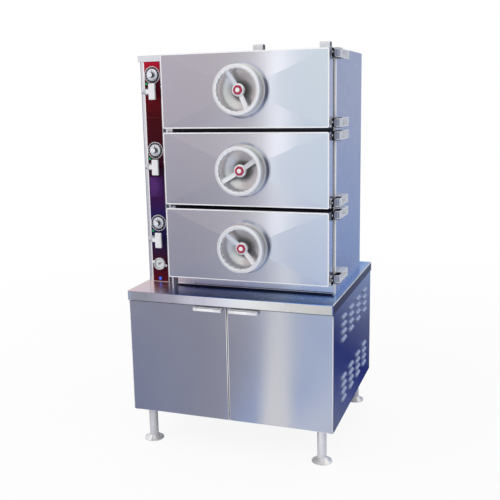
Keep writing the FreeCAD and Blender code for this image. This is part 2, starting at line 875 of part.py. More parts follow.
def make_door_plate(number):
    """Plate that presses the gasket on the chamber's seat, with the spindle's socket."""
    level = compartment_level(number)
    plate = round_block(body_centre_x - plate_width / 2, body_centre_x + plate_width / 2,
                        plate_front, plate_rear, level - plate_height / 2,
                        level + plate_height / 2, plate_corner, back)
    socket = rod(socket_radius, socket_length,
                 Vector(body_centre_x, plate_front - socket_length, level), back)
    bore = rod(spindle_radius + running_clearance, socket_length - running_gap,
               Vector(body_centre_x, plate_front - socket_length, level), back)
    return plate.fuse(socket).cut(bore)


def make_gasket(number):
    level = compartment_level(number)
    half_w = plate_width / 2 - gasket_inset
    half_h = plate_height / 2 - gasket_inset
    corner = plate_corner - gasket_inset
    outer = round_block(body_centre_x - half_w, body_centre_x + half_w, plate_rear,
                        plate_rear + gasket_thickness, level - half_h, level + half_h,
                        corner, back)
    width = gasket_width
    inner = round_block(body_centre_x - half_w + width, body_centre_x + half_w - width, plate_rear,
                        plate_rear + gasket_thickness, level - half_h + width,
                        level + half_h - width, corner - width, back)
    return outer.cut(inner)


# Handwheels

def make_rim(level):
    """Turned rim with bevelled edges; finger grips are cut in its inner edge at the back."""
    rim_y = door_front - wheel_stand_off
    front_y, rear_y = rim_y - rim_thickness / 2, rim_y + rim_thickness / 2
    inner = wheel_radius - rim_width
    outline = [(inner + rim_bevel, front_y), (wheel_radius - rim_bevel, front_y),
               (wheel_radius, front_y + rim_bevel), (wheel_radius, rear_y - rim_bevel),
               (wheel_radius - rim_bevel, rear_y), (inner, rear_y), (inner, front_y + rim_bevel)]
    rim = turned(outline, level)
    grips = []
    for step in range(grip_count):
        angle = 2 * math.pi / grip_count * step
        reach = inner - grip_radius + grip_bite
        start = Vector(body_centre_x + reach * math.cos(angle), rim_y,
                       level + reach * math.sin(angle))
        grips.append(rod(grip_radius, rim_thickness, start, back))
    return rim.cut(grips)


def make_wheel(number):
    """Cast handwheel: a dished wheel with two flat spokes."""
    level = compartment_level(number)
    centre = Vector(body_centre_x, 0, level)
    rim_y = door_front - wheel_stand_off
    hub_y = door_front - hub_front
    pieces = [make_rim(level), rod(hub_radius, hub_length, Vector(body_centre_x, hub_y, level), back)]
    inner_x = body_centre_x + hub_radius - spoke_root
    outer_x = body_centre_x + wheel_radius - rim_width + spoke_tip
    inner_y, outer_y = hub_y + spoke_set_back, rim_y - spoke_thickness / 2
    low = level - spoke_width / 2
    for turn in (0, 180):
        spoke = prism([Vector(inner_x, inner_y, low), Vector(outer_x, outer_y, low),
                       Vector(outer_x, outer_y + spoke_thickness, low),
                       Vector(inner_x, inner_y + spoke_thickness, low)], up * spoke_width)
        spoke.rotate(centre, back, -(spoke_angles[number - 1] + turn))
        pieces.append(spoke)
    bore = rod(spindle_radius, hub_length, Vector(body_centre_x, hub_y, level), back)
    return joined(pieces).cut(bore)


def make_spindle(number):
    level = compartment_level(number)
    hub_y = door_front - hub_front
    end_y = plate_front - spindle_end_gap
    spindle = rod(spindle_radius, end_y - hub_y, Vector(body_centre_x, hub_y, level), back)
    collar = rod(collar_radius, collar_length,
                 Vector(body_centre_x, plate_front - socket_length - collar_length - collar_gap,
                        level), back)
    return spindle.fuse(collar)


def make_wheel_cap(number):
    """Cap over the hub, with the wheel's nut in its middle."""
    face_y = door_front - hub_front
    front_y = face_y - cap_thickness
    outline = [(0, front_y - cap_nut_thickness), (cap_nut_radius, front_y - cap_nut_thickness),
               (cap_nut_radius, front_y), (cap_radius - cap_bevel, front_y),
               (cap_radius, front_y + cap_bevel), (cap_radius, face_y), (0, face_y)]
    return turned(outline, compartment_level(number))


# Latches

def make_latch(number):
    """Hook inside the door, drawn swung clear of the keeper's pin."""
    level = compartment_level(number) + latch_level
    pivot = Vector(latch_x, latch_y, level)
    eye = rod(latch_eye_radius, latch_thickness, pivot, up)
    arm_right = latch_x - hook_inset
    arm_left = arm_right - latch_arm_width
    root_y = pivot.y - hook_root
    nose_front = keeper_y + keeper_pin_radius + hook_play
    nose_back = nose_front + hook_depth
    nose_tip = keeper_x - hook_past
    arm = prism([Vector(arm_left + hook_taper, root_y, level),
                 Vector(latch_x + hook_past, root_y, level),
                 Vector(arm_right, nose_back, level), Vector(nose_tip, nose_back, level),
                 Vector(nose_tip, nose_front, level), Vector(arm_left, nose_front, level)],
                up * latch_thickness)
    hook = joined([eye, arm]).cut(rod(latch_pivot_radius + running_clearance, latch_thickness,
                                      pivot, up))
    hook.rotate(pivot, up, -latch_swing)
    return hook


def make_keeper(number):
    """Cranked bar from the post into the door, with the pin that the hook catches."""
    level = compartment_level(number) + latch_level - keeper_thickness - latch_gap
    half = keeper_bar / 2
    run_y = seat_face - keeper_bar
    bar = prism([Vector(post_x - half, post_y, level), Vector(post_x - half, run_y - half, level),
                 Vector(keeper_x - half, run_y - half, level),
                 Vector(keeper_x - half, keeper_y - half, level),
                 Vector(keeper_x + half, keeper_y - half, level),
                 Vector(keeper_x + half, run_y + half, level),
                 Vector(post_x + half, run_y + half, level), Vector(post_x + half, post_y, level)],
                up * keeper_thickness)
    pin = rod(keeper_pin_radius, keeper_thickness + latch_thickness + latch_gap * 3,
              Vector(keeper_x, keeper_y, level), up)
    post = rod(post_radius, body_height, Vector(post_x, post_y, base_height), up)
    return bar.fuse(pin).cut(post)


def make_latch_post():
    """Post beside the body, its ties to the body, and a keeper for each door."""
    post = rod(post_radius, body_height - post_drop, Vector(post_x, post_y, base_height), up)
    pieces = [post]
    gaps = [compartment_level(number) - compartment_pitch / 2 for number in compartments[:-1]]
    for z in gaps + [body_top - tie_height * 2]:
        tie = block(post_x, body_left, post_y - tie_width / 2, post_y + tie_width / 2,
                    z - tie_height / 2, z + tie_height / 2)
        pieces.append(tie.cut(post))
    return group(pieces + [make_keeper(number) for number in compartments])


# Control column

def timer_level(number):
    top = base_height + highest_compartment + timer_lift
    return top - (number - 1) * (compartment_pitch + timer_spread)


def round_front_edge(shape, radius):
    """Round the upright edge at the shape's left front."""
    edges = [edge for edge in shape.Edges
             if abs(edge.tangentAt(edge.FirstParameter).dot(up)) > 0.999
             and edge.CenterOfMass.x < riser_x and edge.CenterOfMass.y < riser_y]
    return shape.makeFillet(radius, edges)


def make_control_column():
    """Upright sheet housing beside the doors for the steam riser and the controls."""
    sheet = column_sheet
    shell = block(column_left, column_right_side, column_front, body_back, base_height, column_top)
    hollow = block(column_left + sheet, column_right_side - sheet, column_front + sheet,
                   body_back - sheet, base_height, column_top - sheet)
    shell = round_front_edge(shell, column_corner).cut(
        round_front_edge(hollow, column_corner - sheet))
    for number in compartments:
        hole = rod(timer_shaft_radius + running_clearance, sheet,
                   Vector(panel_x, column_front, timer_level(number)), back)
        branch = rod(branch_pipe + pipe_clearance, sheet,
                     Vector(column_right_side - sheet, riser_y, compartment_level(number)), right)
        shell = shell.cut(hole).cut(branch)
    button_z = base_height + button_level
    return shell.cut(rod(button_stem_radius + button_clearance, sheet,
                         Vector(panel_x, column_front, button_z), back))


def make_column_cap():
    """Folded cap with its skirt round the column's top."""
    sheet = column_sheet
    x0, x1 = column_left - cap_overhang, column_right_side + cap_overhang
    y0 = column_front - cap_overhang
    z1 = column_top + cap_height
    outer = round_along(block(x0, x1, y0, body_back, column_top, z1), column_cap_corner, up)
    inner = block(x0 + sheet, x1 - sheet, y0 + sheet, body_back - sheet, column_top, z1 - sheet)
    return outer.cut(inner)


def make_control_panel():
    """Overlay on the column's front, with holes for the timers and the button."""
    sheet = block(panel_right - panel_width, panel_right, panel_front, column_front,
                  base_height + panel_foot, column_top)
    for number in compartments:
        hole = rod(timer_shaft_radius + running_clearance, panel_thickness,
                   Vector(panel_x, panel_front, timer_level(number)), back)
        sheet = sheet.cut(hole)
    button_z = base_height + button_level
    return sheet.cut(rod(button_stem_radius + button_clearance, panel_thickness,
                         Vector(panel_x, panel_front, button_z), back))


def make_pilot_lamps():
    lamps = []
    for number in compartments:
        place = Vector(panel_x - lamp_side, panel_front, timer_level(number) - lamp_drop)
        lamps.append(Part.makeCone(lamp_radius, lamp_tip_radius, lamp_height, place, back * -1))
    return group(lamps)


def make_timer_knob(number):
    """Knob with a skirt, a turned grip and a pointer rib."""
    z = timer_level(number)
    start = Vector(panel_x, panel_front - running_gap, z)
    forward = back * -1
    skirt_edge = timer_skirt_radius - timer_skirt_taper
    skirt = Part.makeCone(timer_skirt_radius, skirt_edge, timer_skirt_height, start, forward)
    grip_start = start + forward * timer_skirt_height
    grip = Part.makeCone(timer_grip_radius, timer_grip_radius - timer_grip_taper,
                         timer_grip_length, grip_start, forward)
    half = timer_pointer / 2
    pointer = block(panel_x - half, panel_x + half, grip_start.y - half, grip_start.y,
                    z + timer_grip_radius - timer_skirt_taper, z + skirt_edge - timer_skirt_taper)
    shaft = rod(timer_shaft_radius, timer_shaft_length, start, back)
    return joined([skirt, grip, pointer, shaft])


def lever_axis(number):
    return panel_front - lever_axis_ahead, timer_level(number) - lever_drop


def lever_left():
    """Left end of a lever's bracket."""
    return panel_right - panel_width + bracket_side


def make_lever_brackets():
    """Two cheeks and a cross pin for each steam lever."""
    brackets = []
    x0 = lever_left()
    nose = bracket_nose_radius
    length = lever_hub_length + 2 * bracket_thickness
    for number in compartments:
        y, z = lever_axis(number)
        pieces = [block(x0, x0 + length, panel_front - bracket_base, panel_front,
                        z - lever_hub_radius, z + lever_hub_radius)]
        for x in (x0, x0 + lever_hub_length + bracket_thickness):
            pieces.append(block(x, x + bracket_thickness, y, panel_front, z - nose, z + nose))
            pieces.append(rod(nose, bracket_thickness, Vector(x, y, z), right))
        pieces.append(rod(lever_pin_radius, length, Vector(x0, y, z), right))
        brackets.append(joined(pieces))
    return group(brackets)


def make_steam_lever(number):
    """Hub on the cross pin with a flat paddle in front of it."""
    y, z = lever_axis(number)
    x0 = lever_left() + bracket_thickness + lever_gap
    x1 = x0 + lever_hub_length - 2 * lever_gap
    hub = rod(lever_hub_radius, x1 - x0, Vector(x0, y, z), right)
    paddle_x = panel_right - paddle_width / 2 - paddle_side
    paddle_back = y - paddle_ahead
    paddle = round_block(paddle_x - paddle_width / 2, paddle_x + paddle_width / 2,
                         paddle_back - paddle_thickness, paddle_back,
                         z - paddle_height / 2, z + paddle_height / 2, paddle_corner, back)
    middle = paddle_back - paddle_thickness / 2
    half = paddle_neck / 2
    neck = block(x1 - paddle_neck, x1, middle, y, z - half, z + half)
    bore = rod(lever_pin_radius + running_clearance, x1 - x0, Vector(x0, y, z), right)
    return joined([hub, neck, paddle]).cut(bore)


def make_gauge_case():
    """Round case with a dished face, two lugs and the needle's pin."""
    z = base_height + gauge_level
    start = Vector(panel_x, panel_front, z)
    forward = back * -1
    face = start + forward * gauge_dish
    case = rod(gauge_radius, gauge_depth, start, forward)
    case = case.cut(rod(gauge_radius - gauge_rim, gauge_depth - gauge_dish, face, forward))
    pieces = [case, rod(needle_pin_radius, needle_pin_length, face, forward)]
    for side in (0, 180):
        angle = math.radians(side - gauge_lug_angle)
        lug = Vector(panel_x + gauge_lug_circle * math.cos(angle), panel_front,
                     z + gauge_lug_circle * math.sin(angle))
        pieces.append(rod(gauge_lug_radius, gauge_lug_thickness, lug, forward))
    return joined(pieces)


def make_gauge_needle():
    """Pointer that turns on the pin in the gauge's face."""
    centre = Vector(panel_x, panel_front - needle_level, base_height + gauge_level)
    x, y, z = centre
    half, tip = needle_width / 2, needle_tip / 2
    boss = rod(needle_boss_radius, needle_boss_thickness, centre, back)
    blade = prism([Vector(x - needle_tail, y, z - half), Vector(x + needle_length, y, z - tip),
                   Vector(x + needle_length, y, z + tip), Vector(x - needle_tail, y, z + half)],
                  back * needle_thickness)
    bore = rod(needle_pin_radius + running_clearance, needle_boss_thickness, centre, back)
    needle = joined([boss, blade]).cut(bore)
    needle.rotate(centre, back, -needle_angle)
    return needle


def make_power_button():
    start = Vector(panel_x, panel_front - button_stand, base_height + button_level)
    head = rod(button_radius, button_height, start, back * -1)
    return head.fuse(rod(button_stem_radius, button_stem_length, start, back))


# Boiler, pipes and electrics

def make_vessel(shrink):
    """Cylinder with dished heads, smaller all round by shrink."""
    radius = boiler_radius - shrink
    half = boiler_length / 2
    head = boiler_head - shrink
    axis = Vector(0, boiler_centre_y, boiler_level)
    outline = [(-half - head, 0), (-half - head, radius * (1 - boiler_dish)),
               (-half - head * boiler_dish, radius * boiler_dish), (-half, radius), (half, radius),
               (half + head * boiler_dish, radius * boiler_dish),
               (half + head, radius * (1 - boiler_dish)), (half + head, 0)]
    points = [axis + right * x + up * r for x, r in outline]
    return Part.Face(Part.makePolygon(points + [points[0]])).revolve(axis, right, 360)


def make_boiler():
    """Horizontal boiler on two saddles, with its dome and element flange."""
    half = boiler_length / 2
    axis = Vector(0, boiler_centre_y, boiler_level)
    flange_start = axis + right * -(half + boiler_head + element_reach)
    pieces = [make_vessel(0), rod(dome_radius, boiler_radius + dome_height, axis, up),
              rod(element_flange, element_reach + boiler_head, flange_start, right)]
    floor = cabinet_clear + cabinet_rail_sheet
    for side in (-1, 1):
        x = side * saddle_spread
        pieces.append(block(x - saddle_thickness / 2, x + saddle_thickness / 2,
                            boiler_centre_y - saddle_width / 2, boiler_centre_y + saddle_width / 2,
                            floor, boiler_level))
    return joined(pieces).cut(make_vessel(boiler_wall))


def make_pipe(points, radius):
    """Pipe of straight runs that meet in mitred corners."""
    first = points[1] - points[0]
    circle = Part.Wire(Part.makeCircle(radius, points[0], first))
    path = Part.Wire([Part.makeLine(start, end) for start, end in zip(points[:-1], points[1:])])
    mitred = 1
    return [path.makePipeShell([circle], True, False, mitred)]


def make_steam_pipes():
    """Riser from the boiler's dome through the column, with a valve and branch per chamber."""
    dome_top = Vector(0, boiler_centre_y, boiler_level + boiler_radius + dome_height)
    turn = dome_top + up * steam_rise
    across = Vector(riser_x, boiler_centre_y, turn.z)
    under = Vector(riser_x, riser_y, turn.z)
    top = Vector(riser_x, riser_y, compartment_level(1))
    pieces = make_pipe([dome_top, turn, across, under, top], steam_pipe)
    half = valve_body / 2
    for number in compartments:
        level = compartment_level(number)
        chamber_side = body_centre_x - chamber_width / 2 - chamber_wall
        pieces.append(rod(branch_pipe, chamber_side - riser_x, Vector(riser_x, riser_y, level), right))
        pieces.append(block(riser_x - half, riser_x + half, riser_y - half, riser_y + half,
                            level - half, level + half))
    return joined(pieces)


def make_drain_pipes():
    """Drain from the back of each chamber down to the outlet behind the cabinet."""
    stub_y = cabinet_back + stub_gap
    pieces = make_pipe([Vector(drain_x, drain_y, compartment_level(1)),
                        Vector(drain_x, drain_y, service_level),
                        Vector(drain_x, stub_y, service_level)], drain_pipe)
    chamber_back = body_front + chamber_depth + chamber_wall
    for number in compartments:
        level = compartment_level(number) - chamber_height / 4
        pieces.append(rod(branch_pipe, drain_y - chamber_back,
                          Vector(drain_x, chamber_back, level), back))
    pieces.append(rod(drain_outlet_radius, drain_outlet_length,
                      Vector(drain_x, stub_y, service_level), back))
    return joined(pieces)


def make_water_inlet():
    """Feed pipe with its valve, from the inlet behind the cabinet to the boiler."""
    x = drain_x - inlet_aside
    stub_y = cabinet_back + stub_gap
    turn_y = stub_y - feed_run
    rise = feed_level - boiler_level
    wall_y = boiler_centre_y + math.sqrt(boiler_radius ** 2 - rise ** 2)
    points = [Vector(x, stub_y, service_level), Vector(x, turn_y, service_level),
              Vector(x, turn_y, feed_level), Vector(x, wall_y + feed_collar, feed_level)]
    pieces = [rod(inlet_radius, inlet_length, points[0], back)]
    for start, end in zip(points[:-1], points[1:]):
        pieces.append(rod(inlet_pipe, (end - start).Length, start, end - start))
    middle = (points[1] + points[2]) * 0.5
    for centre, size in ((points[1], elbow_size), (points[2], elbow_size), (middle, feed_valve)):
        half = size / 2
        pieces.append(block(centre.x - half, centre.x + half, centre.y - half, centre.y + half,
                            centre.z - half, centre.z + half))
    # the collar is shaped to the boiler's wall
    collar = rod(inlet_radius, wall_y + feed_collar - boiler_centre_y,
                 Vector(x, boiler_centre_y, feed_level), back)
    boiler_left = Vector(-boiler_length / 2, boiler_centre_y, boiler_level)
    pieces.append(collar.cut(rod(boiler_radius, boiler_length, boiler_left, right)))
    return joined(pieces)


def make_control_box():
    """Closed sheet box for the contactors."""
    x0 = frame_left + cabinet_rail + box_gap
    y0 = frame_front + cabinet_rail * 2
    z0 = cabinet_clear + cabinet_rail_sheet
    outer = block(x0, x0 + control_box_depth, y0, y0 + control_box_width,
                  z0, z0 + control_box_height)
    sheet = cabinet_sheet
    inner = block(x0 + sheet, x0 + control_box_depth - sheet, y0 + sheet,
                  y0 + control_box_width - sheet, z0 + sheet, z0 + control_box_height - sheet)
    return outer.cut(inner)


def build():
    parts = {
        "worktop": make_worktop(),
        "cabinet_frame": make_cabinet_frame(),
        "cabinet_panels": group([make_side_panel(-1), make_side_panel(1), make_back_panel()]),
        "cabinet_door_left": make_cabinet_door(-1),
        "cabinet_door_right": make_cabinet_door(1),
        "leg_tubes": group([make_leg(sx, sy) for sx in (-1, 1) for sy in (-1, 1)]),
        "body_casing": make_body_casing(),
        "body_front": make_body_front(),
        "pan_runners": make_pan_runners(),
        "lifting_straps": make_lifting_straps(),
        "hinge_brackets": make_hinge_brackets(),
        "hinge_pins": make_hinge_pins(),
        "latch_post": make_latch_post(),
        "control_column": make_control_column(),
        "column_cap": make_column_cap(),
        "control_panel": make_control_panel(),
        "pilot_lamps": make_pilot_lamps(),
        "lever_brackets": make_lever_brackets(),
        "gauge_case": make_gauge_case(),
        "gauge_needle": make_gauge_needle(),
        "power_button": make_power_button(),
        "boiler": make_boiler(),
        "steam_pipes": make_steam_pipes(),
        "drain_pipes": make_drain_pipes(),
        "water_inlet": make_water_inlet(),
        "control_box": make_control_box(),
    }
    corners = {"front_left": (-1, -1), "front_right": (1, -1), "back_left": (-1, 1),
               "back_right": (1, 1)}
    for name, (sign_x, sign_y) in corners.items():
        parts["foot_" + name] = make_foot(sign_x, sign_y)
    makers = {"chamber": make_chamber, "door_shell": make_door_shell,
              "door_plate": make_door_plate, "gasket": make_gasket, "handwheel": make_wheel,
              "spindle": make_spindle, "wheel_cap": make_wheel_cap, "latch": make_latch,
              "timer_knob": make_timer_knob, "steam_lever": make_steam_lever}
    for number in compartments:
        for name, maker in makers.items():
            parts[f"{name}_{number}"] = maker(number)
    return parts


def main():
    os.makedirs("parts", exist_ok=True)
    for name, shape in build().items():
        print(name, "solids", len(shape.Solids), "valid", shape.isValid(),
              "volume %.0f" % shape.Volume)
        shape.exportStep(os.path.join("parts", name + ".step"))


main()
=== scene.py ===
import math

import bmesh
import bpy
from mathutils import Euler, Matrix, Vector


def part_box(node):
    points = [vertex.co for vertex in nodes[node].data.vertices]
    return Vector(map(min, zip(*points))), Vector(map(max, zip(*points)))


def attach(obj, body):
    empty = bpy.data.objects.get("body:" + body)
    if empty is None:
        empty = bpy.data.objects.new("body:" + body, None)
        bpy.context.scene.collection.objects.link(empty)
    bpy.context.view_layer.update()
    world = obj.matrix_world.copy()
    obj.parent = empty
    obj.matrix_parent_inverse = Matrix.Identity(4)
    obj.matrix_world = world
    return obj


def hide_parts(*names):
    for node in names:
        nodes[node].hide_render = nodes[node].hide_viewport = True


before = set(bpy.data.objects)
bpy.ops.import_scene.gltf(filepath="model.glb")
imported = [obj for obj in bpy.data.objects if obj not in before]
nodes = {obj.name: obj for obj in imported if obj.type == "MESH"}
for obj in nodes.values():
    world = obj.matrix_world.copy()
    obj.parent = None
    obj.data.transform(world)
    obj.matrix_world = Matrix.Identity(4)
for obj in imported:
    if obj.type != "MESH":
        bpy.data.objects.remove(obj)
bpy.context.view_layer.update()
doorNumbers = (1, 2, 3)   # 1 is the top door


# Meshes

def ringFaces(first, second, count):
    # faces between two closed rings of points, given by the number of each ring's first point
    return [(first + step, second + step, second + (step + 1) % count, first + (step + 1) % count)
            for step in range(count)]


def circle(count, radius):
    angles = [2 * math.pi * step / count for step in range(count)]
    return [(radius * math.cos(angle), radius * math.sin(angle)) for angle in angles]


def addMesh(name, points, faces, spot=(0, 0, 0), smooth=True):
    mesh = bpy.data.meshes.new(name)
    mesh.from_pydata([tuple(p) for p in points], [], faces)
    shape = bmesh.new()
    shape.from_mesh(mesh)
    bmesh.ops.recalc_face_normals(shape, faces=shape.faces)
    shape.to_mesh(mesh)
    shape.free()
    for face in mesh.polygons:
        face.use_smooth = smooth
    piece = bpy.data.objects.new(name, mesh)
    piece.location = spot
    bpy.context.collection.objects.link(piece)
    return piece


def skin(name, rings, spot=(0, 0, 0), closed=False, ends=False):
    # surface over rings of points; closed joins the last ring to the first, ends fills both
    count, points, faces = len(rings[0]), sum(rings, []), []
    for at in range(len(rings) if closed else len(rings) - 1):
        faces += ringFaces(at * count, (at + 1) % len(rings) * count, count)
    if ends:
        faces += [tuple(range(count)), tuple(range(len(points) - count, len(points)))]
    return addMesh(name, points, faces, spot)


def spin(name, outline, spot, steps=96):
    # turns (radius, forward) points about an axis that points to the front, -Y
    points, faces, rings = [], [], []
    for radius, forward in outline:
        if radius < 1e-6:
            rings.append([len(points)])
            points.append((0, -forward, 0))
            continue
        rings.append(range(len(points), len(points) + steps))
        points += [(across, -forward, up) for across, up in circle(steps, radius)]
    for inner, outer in zip(rings, rings[1:]):
        if len(inner) == len(outer):
            faces += ringFaces(inner[0], outer[0], steps)
            continue
        for step in range(steps):
            after = (step + 1) % steps
            if len(inner) == 1:
                faces.append((inner[0], outer[step], outer[after]))
            else:
                faces.append((inner[step], outer[0], inner[after]))
    return addMesh(name, points, faces, spot)


def boxOf(node):
    # low corner, high corner and middle of a node
    low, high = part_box(node)
    return low, high, (low + high) / 2


def boxShape(name, low, high, rounding=0.0, steps=3):
    # a block between two corners, its edges rounded by a bevel
    low, high = Vector(low), Vector(high)
    middle = (low + high) / 2
    half = (high - low) / 2
    points = [(x * half.x, y * half.y, z * half.z)
              for x in (-1, 1) for y in (-1, 1) for z in (-1, 1)]
    faces = [(0, 1, 3, 2), (4, 6, 7, 5), (0, 4, 5, 1), (2, 3, 7, 6), (0, 2, 6, 4), (1, 5, 7, 3)]
    piece = addMesh(name, points, faces, middle)
    if rounding:
        soften(piece, rounding, steps)
    return piece


def soften(piece, width, steps=3):
    bevel = piece.modifiers.new("edges", "BEVEL")
    bevel.width = width
    bevel.segments = steps
    bevel.limit_method = "ANGLE"
    bevel.harden_normals = True
    return piece


def together(name, shapes):
    # several meshes as one piece, modifiers applied
    graph = bpy.context.evaluated_depsgraph_get()
    bpy.context.view_layer.update()
    origin = shapes[0].matrix_world.translation.copy()
    whole = bmesh.new()
    for shape in shapes:
        mesh = bpy.data.meshes.new_from_object(shape.evaluated_get(graph))
        mesh.transform(Matrix.Translation(-origin) @ shape.matrix_world)
        whole.from_mesh(mesh)
        bpy.data.meshes.remove(mesh)
    mesh = bpy.data.meshes.new(name)
    whole.to_mesh(mesh)
    whole.free()
    for shape in shapes:
        bpy.data.objects.remove(shape)
    piece = bpy.data.objects.new(name, mesh)
    piece.location = origin
    bpy.context.collection.objects.link(piece)
    return piece


def place(piece, finish, body, slot, *replaced):
    # gives a finished piece its finish, its body and the nodes that it stands for
    piece.data.materials.clear()
    piece.data.materials.append(finishes[finish])
    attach(piece, body)
    if replaced:
        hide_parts(*replaced)
    return piece


# Finishes

class Wiring:
    def __init__(self, tree):
        self.tree = tree

    def node(self, kind, **settings):
        made = self.tree.nodes.new(kind)
        for key, value in settings.items():
            setattr(made, key, value)
        return made

    def wire(self, source, target):
        # a number or colour is set, anything else is linked
        if isinstance(source, (float, tuple)):
            target.default_value = source
        else:
            self.tree.links.new(source, target)

    def axis(self, letter):
        coords = self.node("ShaderNodeTexCoord")
        parts = self.node("ShaderNodeSeparateXYZ")
        self.wire(coords.outputs["Object"], parts.inputs["Vector"])
        return parts.outputs[letter]

    def calculate(self, operation, *values):
        made = self.node("ShaderNodeMath", operation=operation)
        for socket, value in zip(made.inputs, values):
            self.wire(value, socket)
        return made.outputs[0]

    def blend(self, amount, first, second, how="MIX"):
        made = self.node("ShaderNodeMix", data_type="RGBA", blend_type=how)
        for key, value in (("Factor", amount), ("A", first), ("B", second)):
            self.wire(value, made.inputs[key])
        return made.outputs["Result"]

    def backgroundRays(self):
        # 1 for rays from the camera, and for those that metal and glass send back
        path = self.node("ShaderNodeLightPath")
        seen = path.outputs["Is Camera Ray"]
        for ray in ("Is Glossy Ray", "Is Transmission Ray"):
            seen = self.calculate("MAXIMUM", seen, path.outputs[ray])
        return seen

    def noise(self, stretch, detail=4.0, seed=0.0):
        coords = self.node("ShaderNodeTexCoord")
        mapping = self.node("ShaderNodeMapping")
        mapping.inputs["Scale"].default_value = stretch
        mapping.inputs["Location"].default_value = (seed, seed * 1.7, seed * 0.6)
        noise = self.node("ShaderNodeTexNoise")
        noise.inputs["Scale"].default_value = 1.0
        noise.inputs["Detail"].default_value = detail
        self.wire(coords.outputs["Object"], mapping.inputs["Vector"])
        self.wire(mapping.outputs["Vector"], noise.inputs["Vector"])
        return noise.outputs["Fac"]

    def ramp(self, source, stops):
        ramp = self.node("ShaderNodeValToRGB")
        bar = ramp.color_ramp
        while len(bar.elements) < len(stops):
            bar.elements.new(0.5)
        for element, (at, colour) in zip(bar.elements, stops):
            element.position = at
            element.color = (*colour, 1)
        self.wire(source, ramp.inputs["Fac"])
        return ramp.outputs["Color"]

    def rampAlong(self, axis, stops):
        # stops are (metres, colour) along one axis
        low, high = stops[0][0], stops[-1][0]
        share = self.span(self.axis(axis), 0.0, 1.0, low, high)
        return self.ramp(share, [((at - low) / (high - low), colour) for at, colour in stops])

    def span(self, source, low, high, fromLow=0.3, fromHigh=0.7):
        remap = self.node("ShaderNodeMapRange")
        for key, value in (("From Min", fromLow), ("From Max", fromHigh),
                           ("To Min", low), ("To Max", high), ("Value", source)):
            self.wire(value, remap.inputs[key])
        return remap.outputs["Result"]


class Finish(Wiring):
    def __init__(self, name, **settings):
        self.material = bpy.data.materials.new(name)
        self.material.use_nodes = True
        super().__init__(self.material.node_tree)
        self.shader = self.tree.nodes["Principled BSDF"]
        for socket, value in settings.items():
            self.shader.inputs[socket.replace("_", " ")].default_value = value

    def paint(self, colour, rough=None):
        self.wire(colour, self.shader.inputs["Base Color"])
        if rough is not None:
            self.wire(rough, self.shader.inputs["Roughness"])

    def brushRound(self, axis):
        tangent = self.node("ShaderNodeTangent", direction_type="RADIAL", axis=axis)
        self.wire(tangent.outputs["Tangent"], self.shader.inputs["Tangent"])

    def glow(self, colour):
        made = self.node("ShaderNodeEmission")
        self.wire(colour, made.inputs["Color"])
        return made.outputs["Emission"]

    def mixShaders(self, share, first, second):
        mix = self.node("ShaderNodeMixShader")
        for source, socket in zip((share, first, second), mix.inputs):
            self.wire(source, socket)
        return mix.outputs["Shader"]

    def show(self, shown):
        # leads another shader to the surface in place of the usual one
        self.wire(shown, self.tree.nodes["Material Output"].inputs["Surface"])

    def bump(self, source, depth, strength=1.0):
        bump = self.node("ShaderNodeBump")
        bump.inputs["Strength"].default_value = strength
        bump.inputs["Distance"].default_value = depth
        self.wire(source, bump.inputs["Height"])
        self.wire(bump.outputs["Normal"], self.shader.inputs["Normal"])


def shade(colour, factor):
    return tuple(min(1.0, c * factor) for c in colour)


grainAlong = {               # stretch of the grain for each way a sheet was brushed
    "level": (5.0, 5.0, 900.0),
    "across": (5.0, 900.0, 900.0),
    "upright": (900.0, 900.0, 5.0),
}


def paintLightAlong(finish, paint, axis, stops):
    # multiplies the colour by a tint that changes along an axis: painted highlight, reflection and shade
    return finish.blend(1.0, paint, finish.rampAlong(axis, stops), "MULTIPLY")


def brushedSteel(name, look):
    # sheet steel with a satin grain: streaks, cloudy patches and a long highlight
    finish = Finish(name, Metallic=1.0, Anisotropic=look["sheen"],
                    Anisotropic_Rotation=look.get("turn", 0.25))
    streaks = finish.noise(grainAlong[look["grain"]], 3.0)
    clouds = finish.noise((look.get("cloud", 3.0),) * 3, 3.0, 4.0)
    base = look["colour"]
    grain = finish.ramp(streaks, [(0.25, shade(base, 0.965)), (0.75, shade(base, 1.025))])
    patch = finish.ramp(clouds, [(0.32, look["stain"]), (0.68, base)])
    paint = finish.blend(look.get("mottle", 0.5), grain, patch)
    # painted reflection, highlight and shade along one axis, for the looks that have it
    if "paintedLight" in look:
        paint = paintLightAlong(finish, paint, *look["paintedLight"])
    finish.paint(paint, finish.span(clouds, *look["rough"]))
    finish.brushRound(look.get("axis", "Z"))
    finish.bump(streaks, 0.00001, 0.12)
    return finish.material


# painted reflections, highlights and shade along a sheet: metres from left to right, or for the body's
# front from the floor up
# worktop's top: painted reflections, with painted shadow below the doors
topPaintedLight = (
    (-0.457, (1.00, 0.80, 0.74)), (-0.34, (0.98, 0.82, 0.82)), (-0.23, (0.14, 0.20, 0.46)),
    (-0.14, (0.05, 0.12, 0.40)), (0.04, (0.08, 0.19, 0.50)), (0.14, (0.14, 0.27, 0.52)),
    (0.22, (0.30, 0.48, 0.76)), (0.30, (0.14, 0.34, 0.76)), (0.40, (0.16, 0.38, 0.84)),
    (0.44, (0.40, 0.62, 0.98)), (0.457, (0.50, 0.68, 1.00)),
)
# worktop's front edge: painted reflections and shade along it
edgePaintedLight = (
    (-0.457, (0.46, 0.60, 0.84)), (-0.435, (0.41, 0.41, 0.50)), (-0.38, (0.38, 0.39, 0.46)),
    (-0.30, (0.47, 0.45, 0.58)), (-0.24, (0.48, 0.47, 0.55)), (-0.18, (0.66, 0.65, 0.76)),
    (-0.10, (0.70, 0.69, 0.80)), (0.0, (0.86, 0.88, 0.98)), (0.10, (1.0, 1.0, 1.0)),
    (0.457, (1.0, 0.99, 0.97)),
)
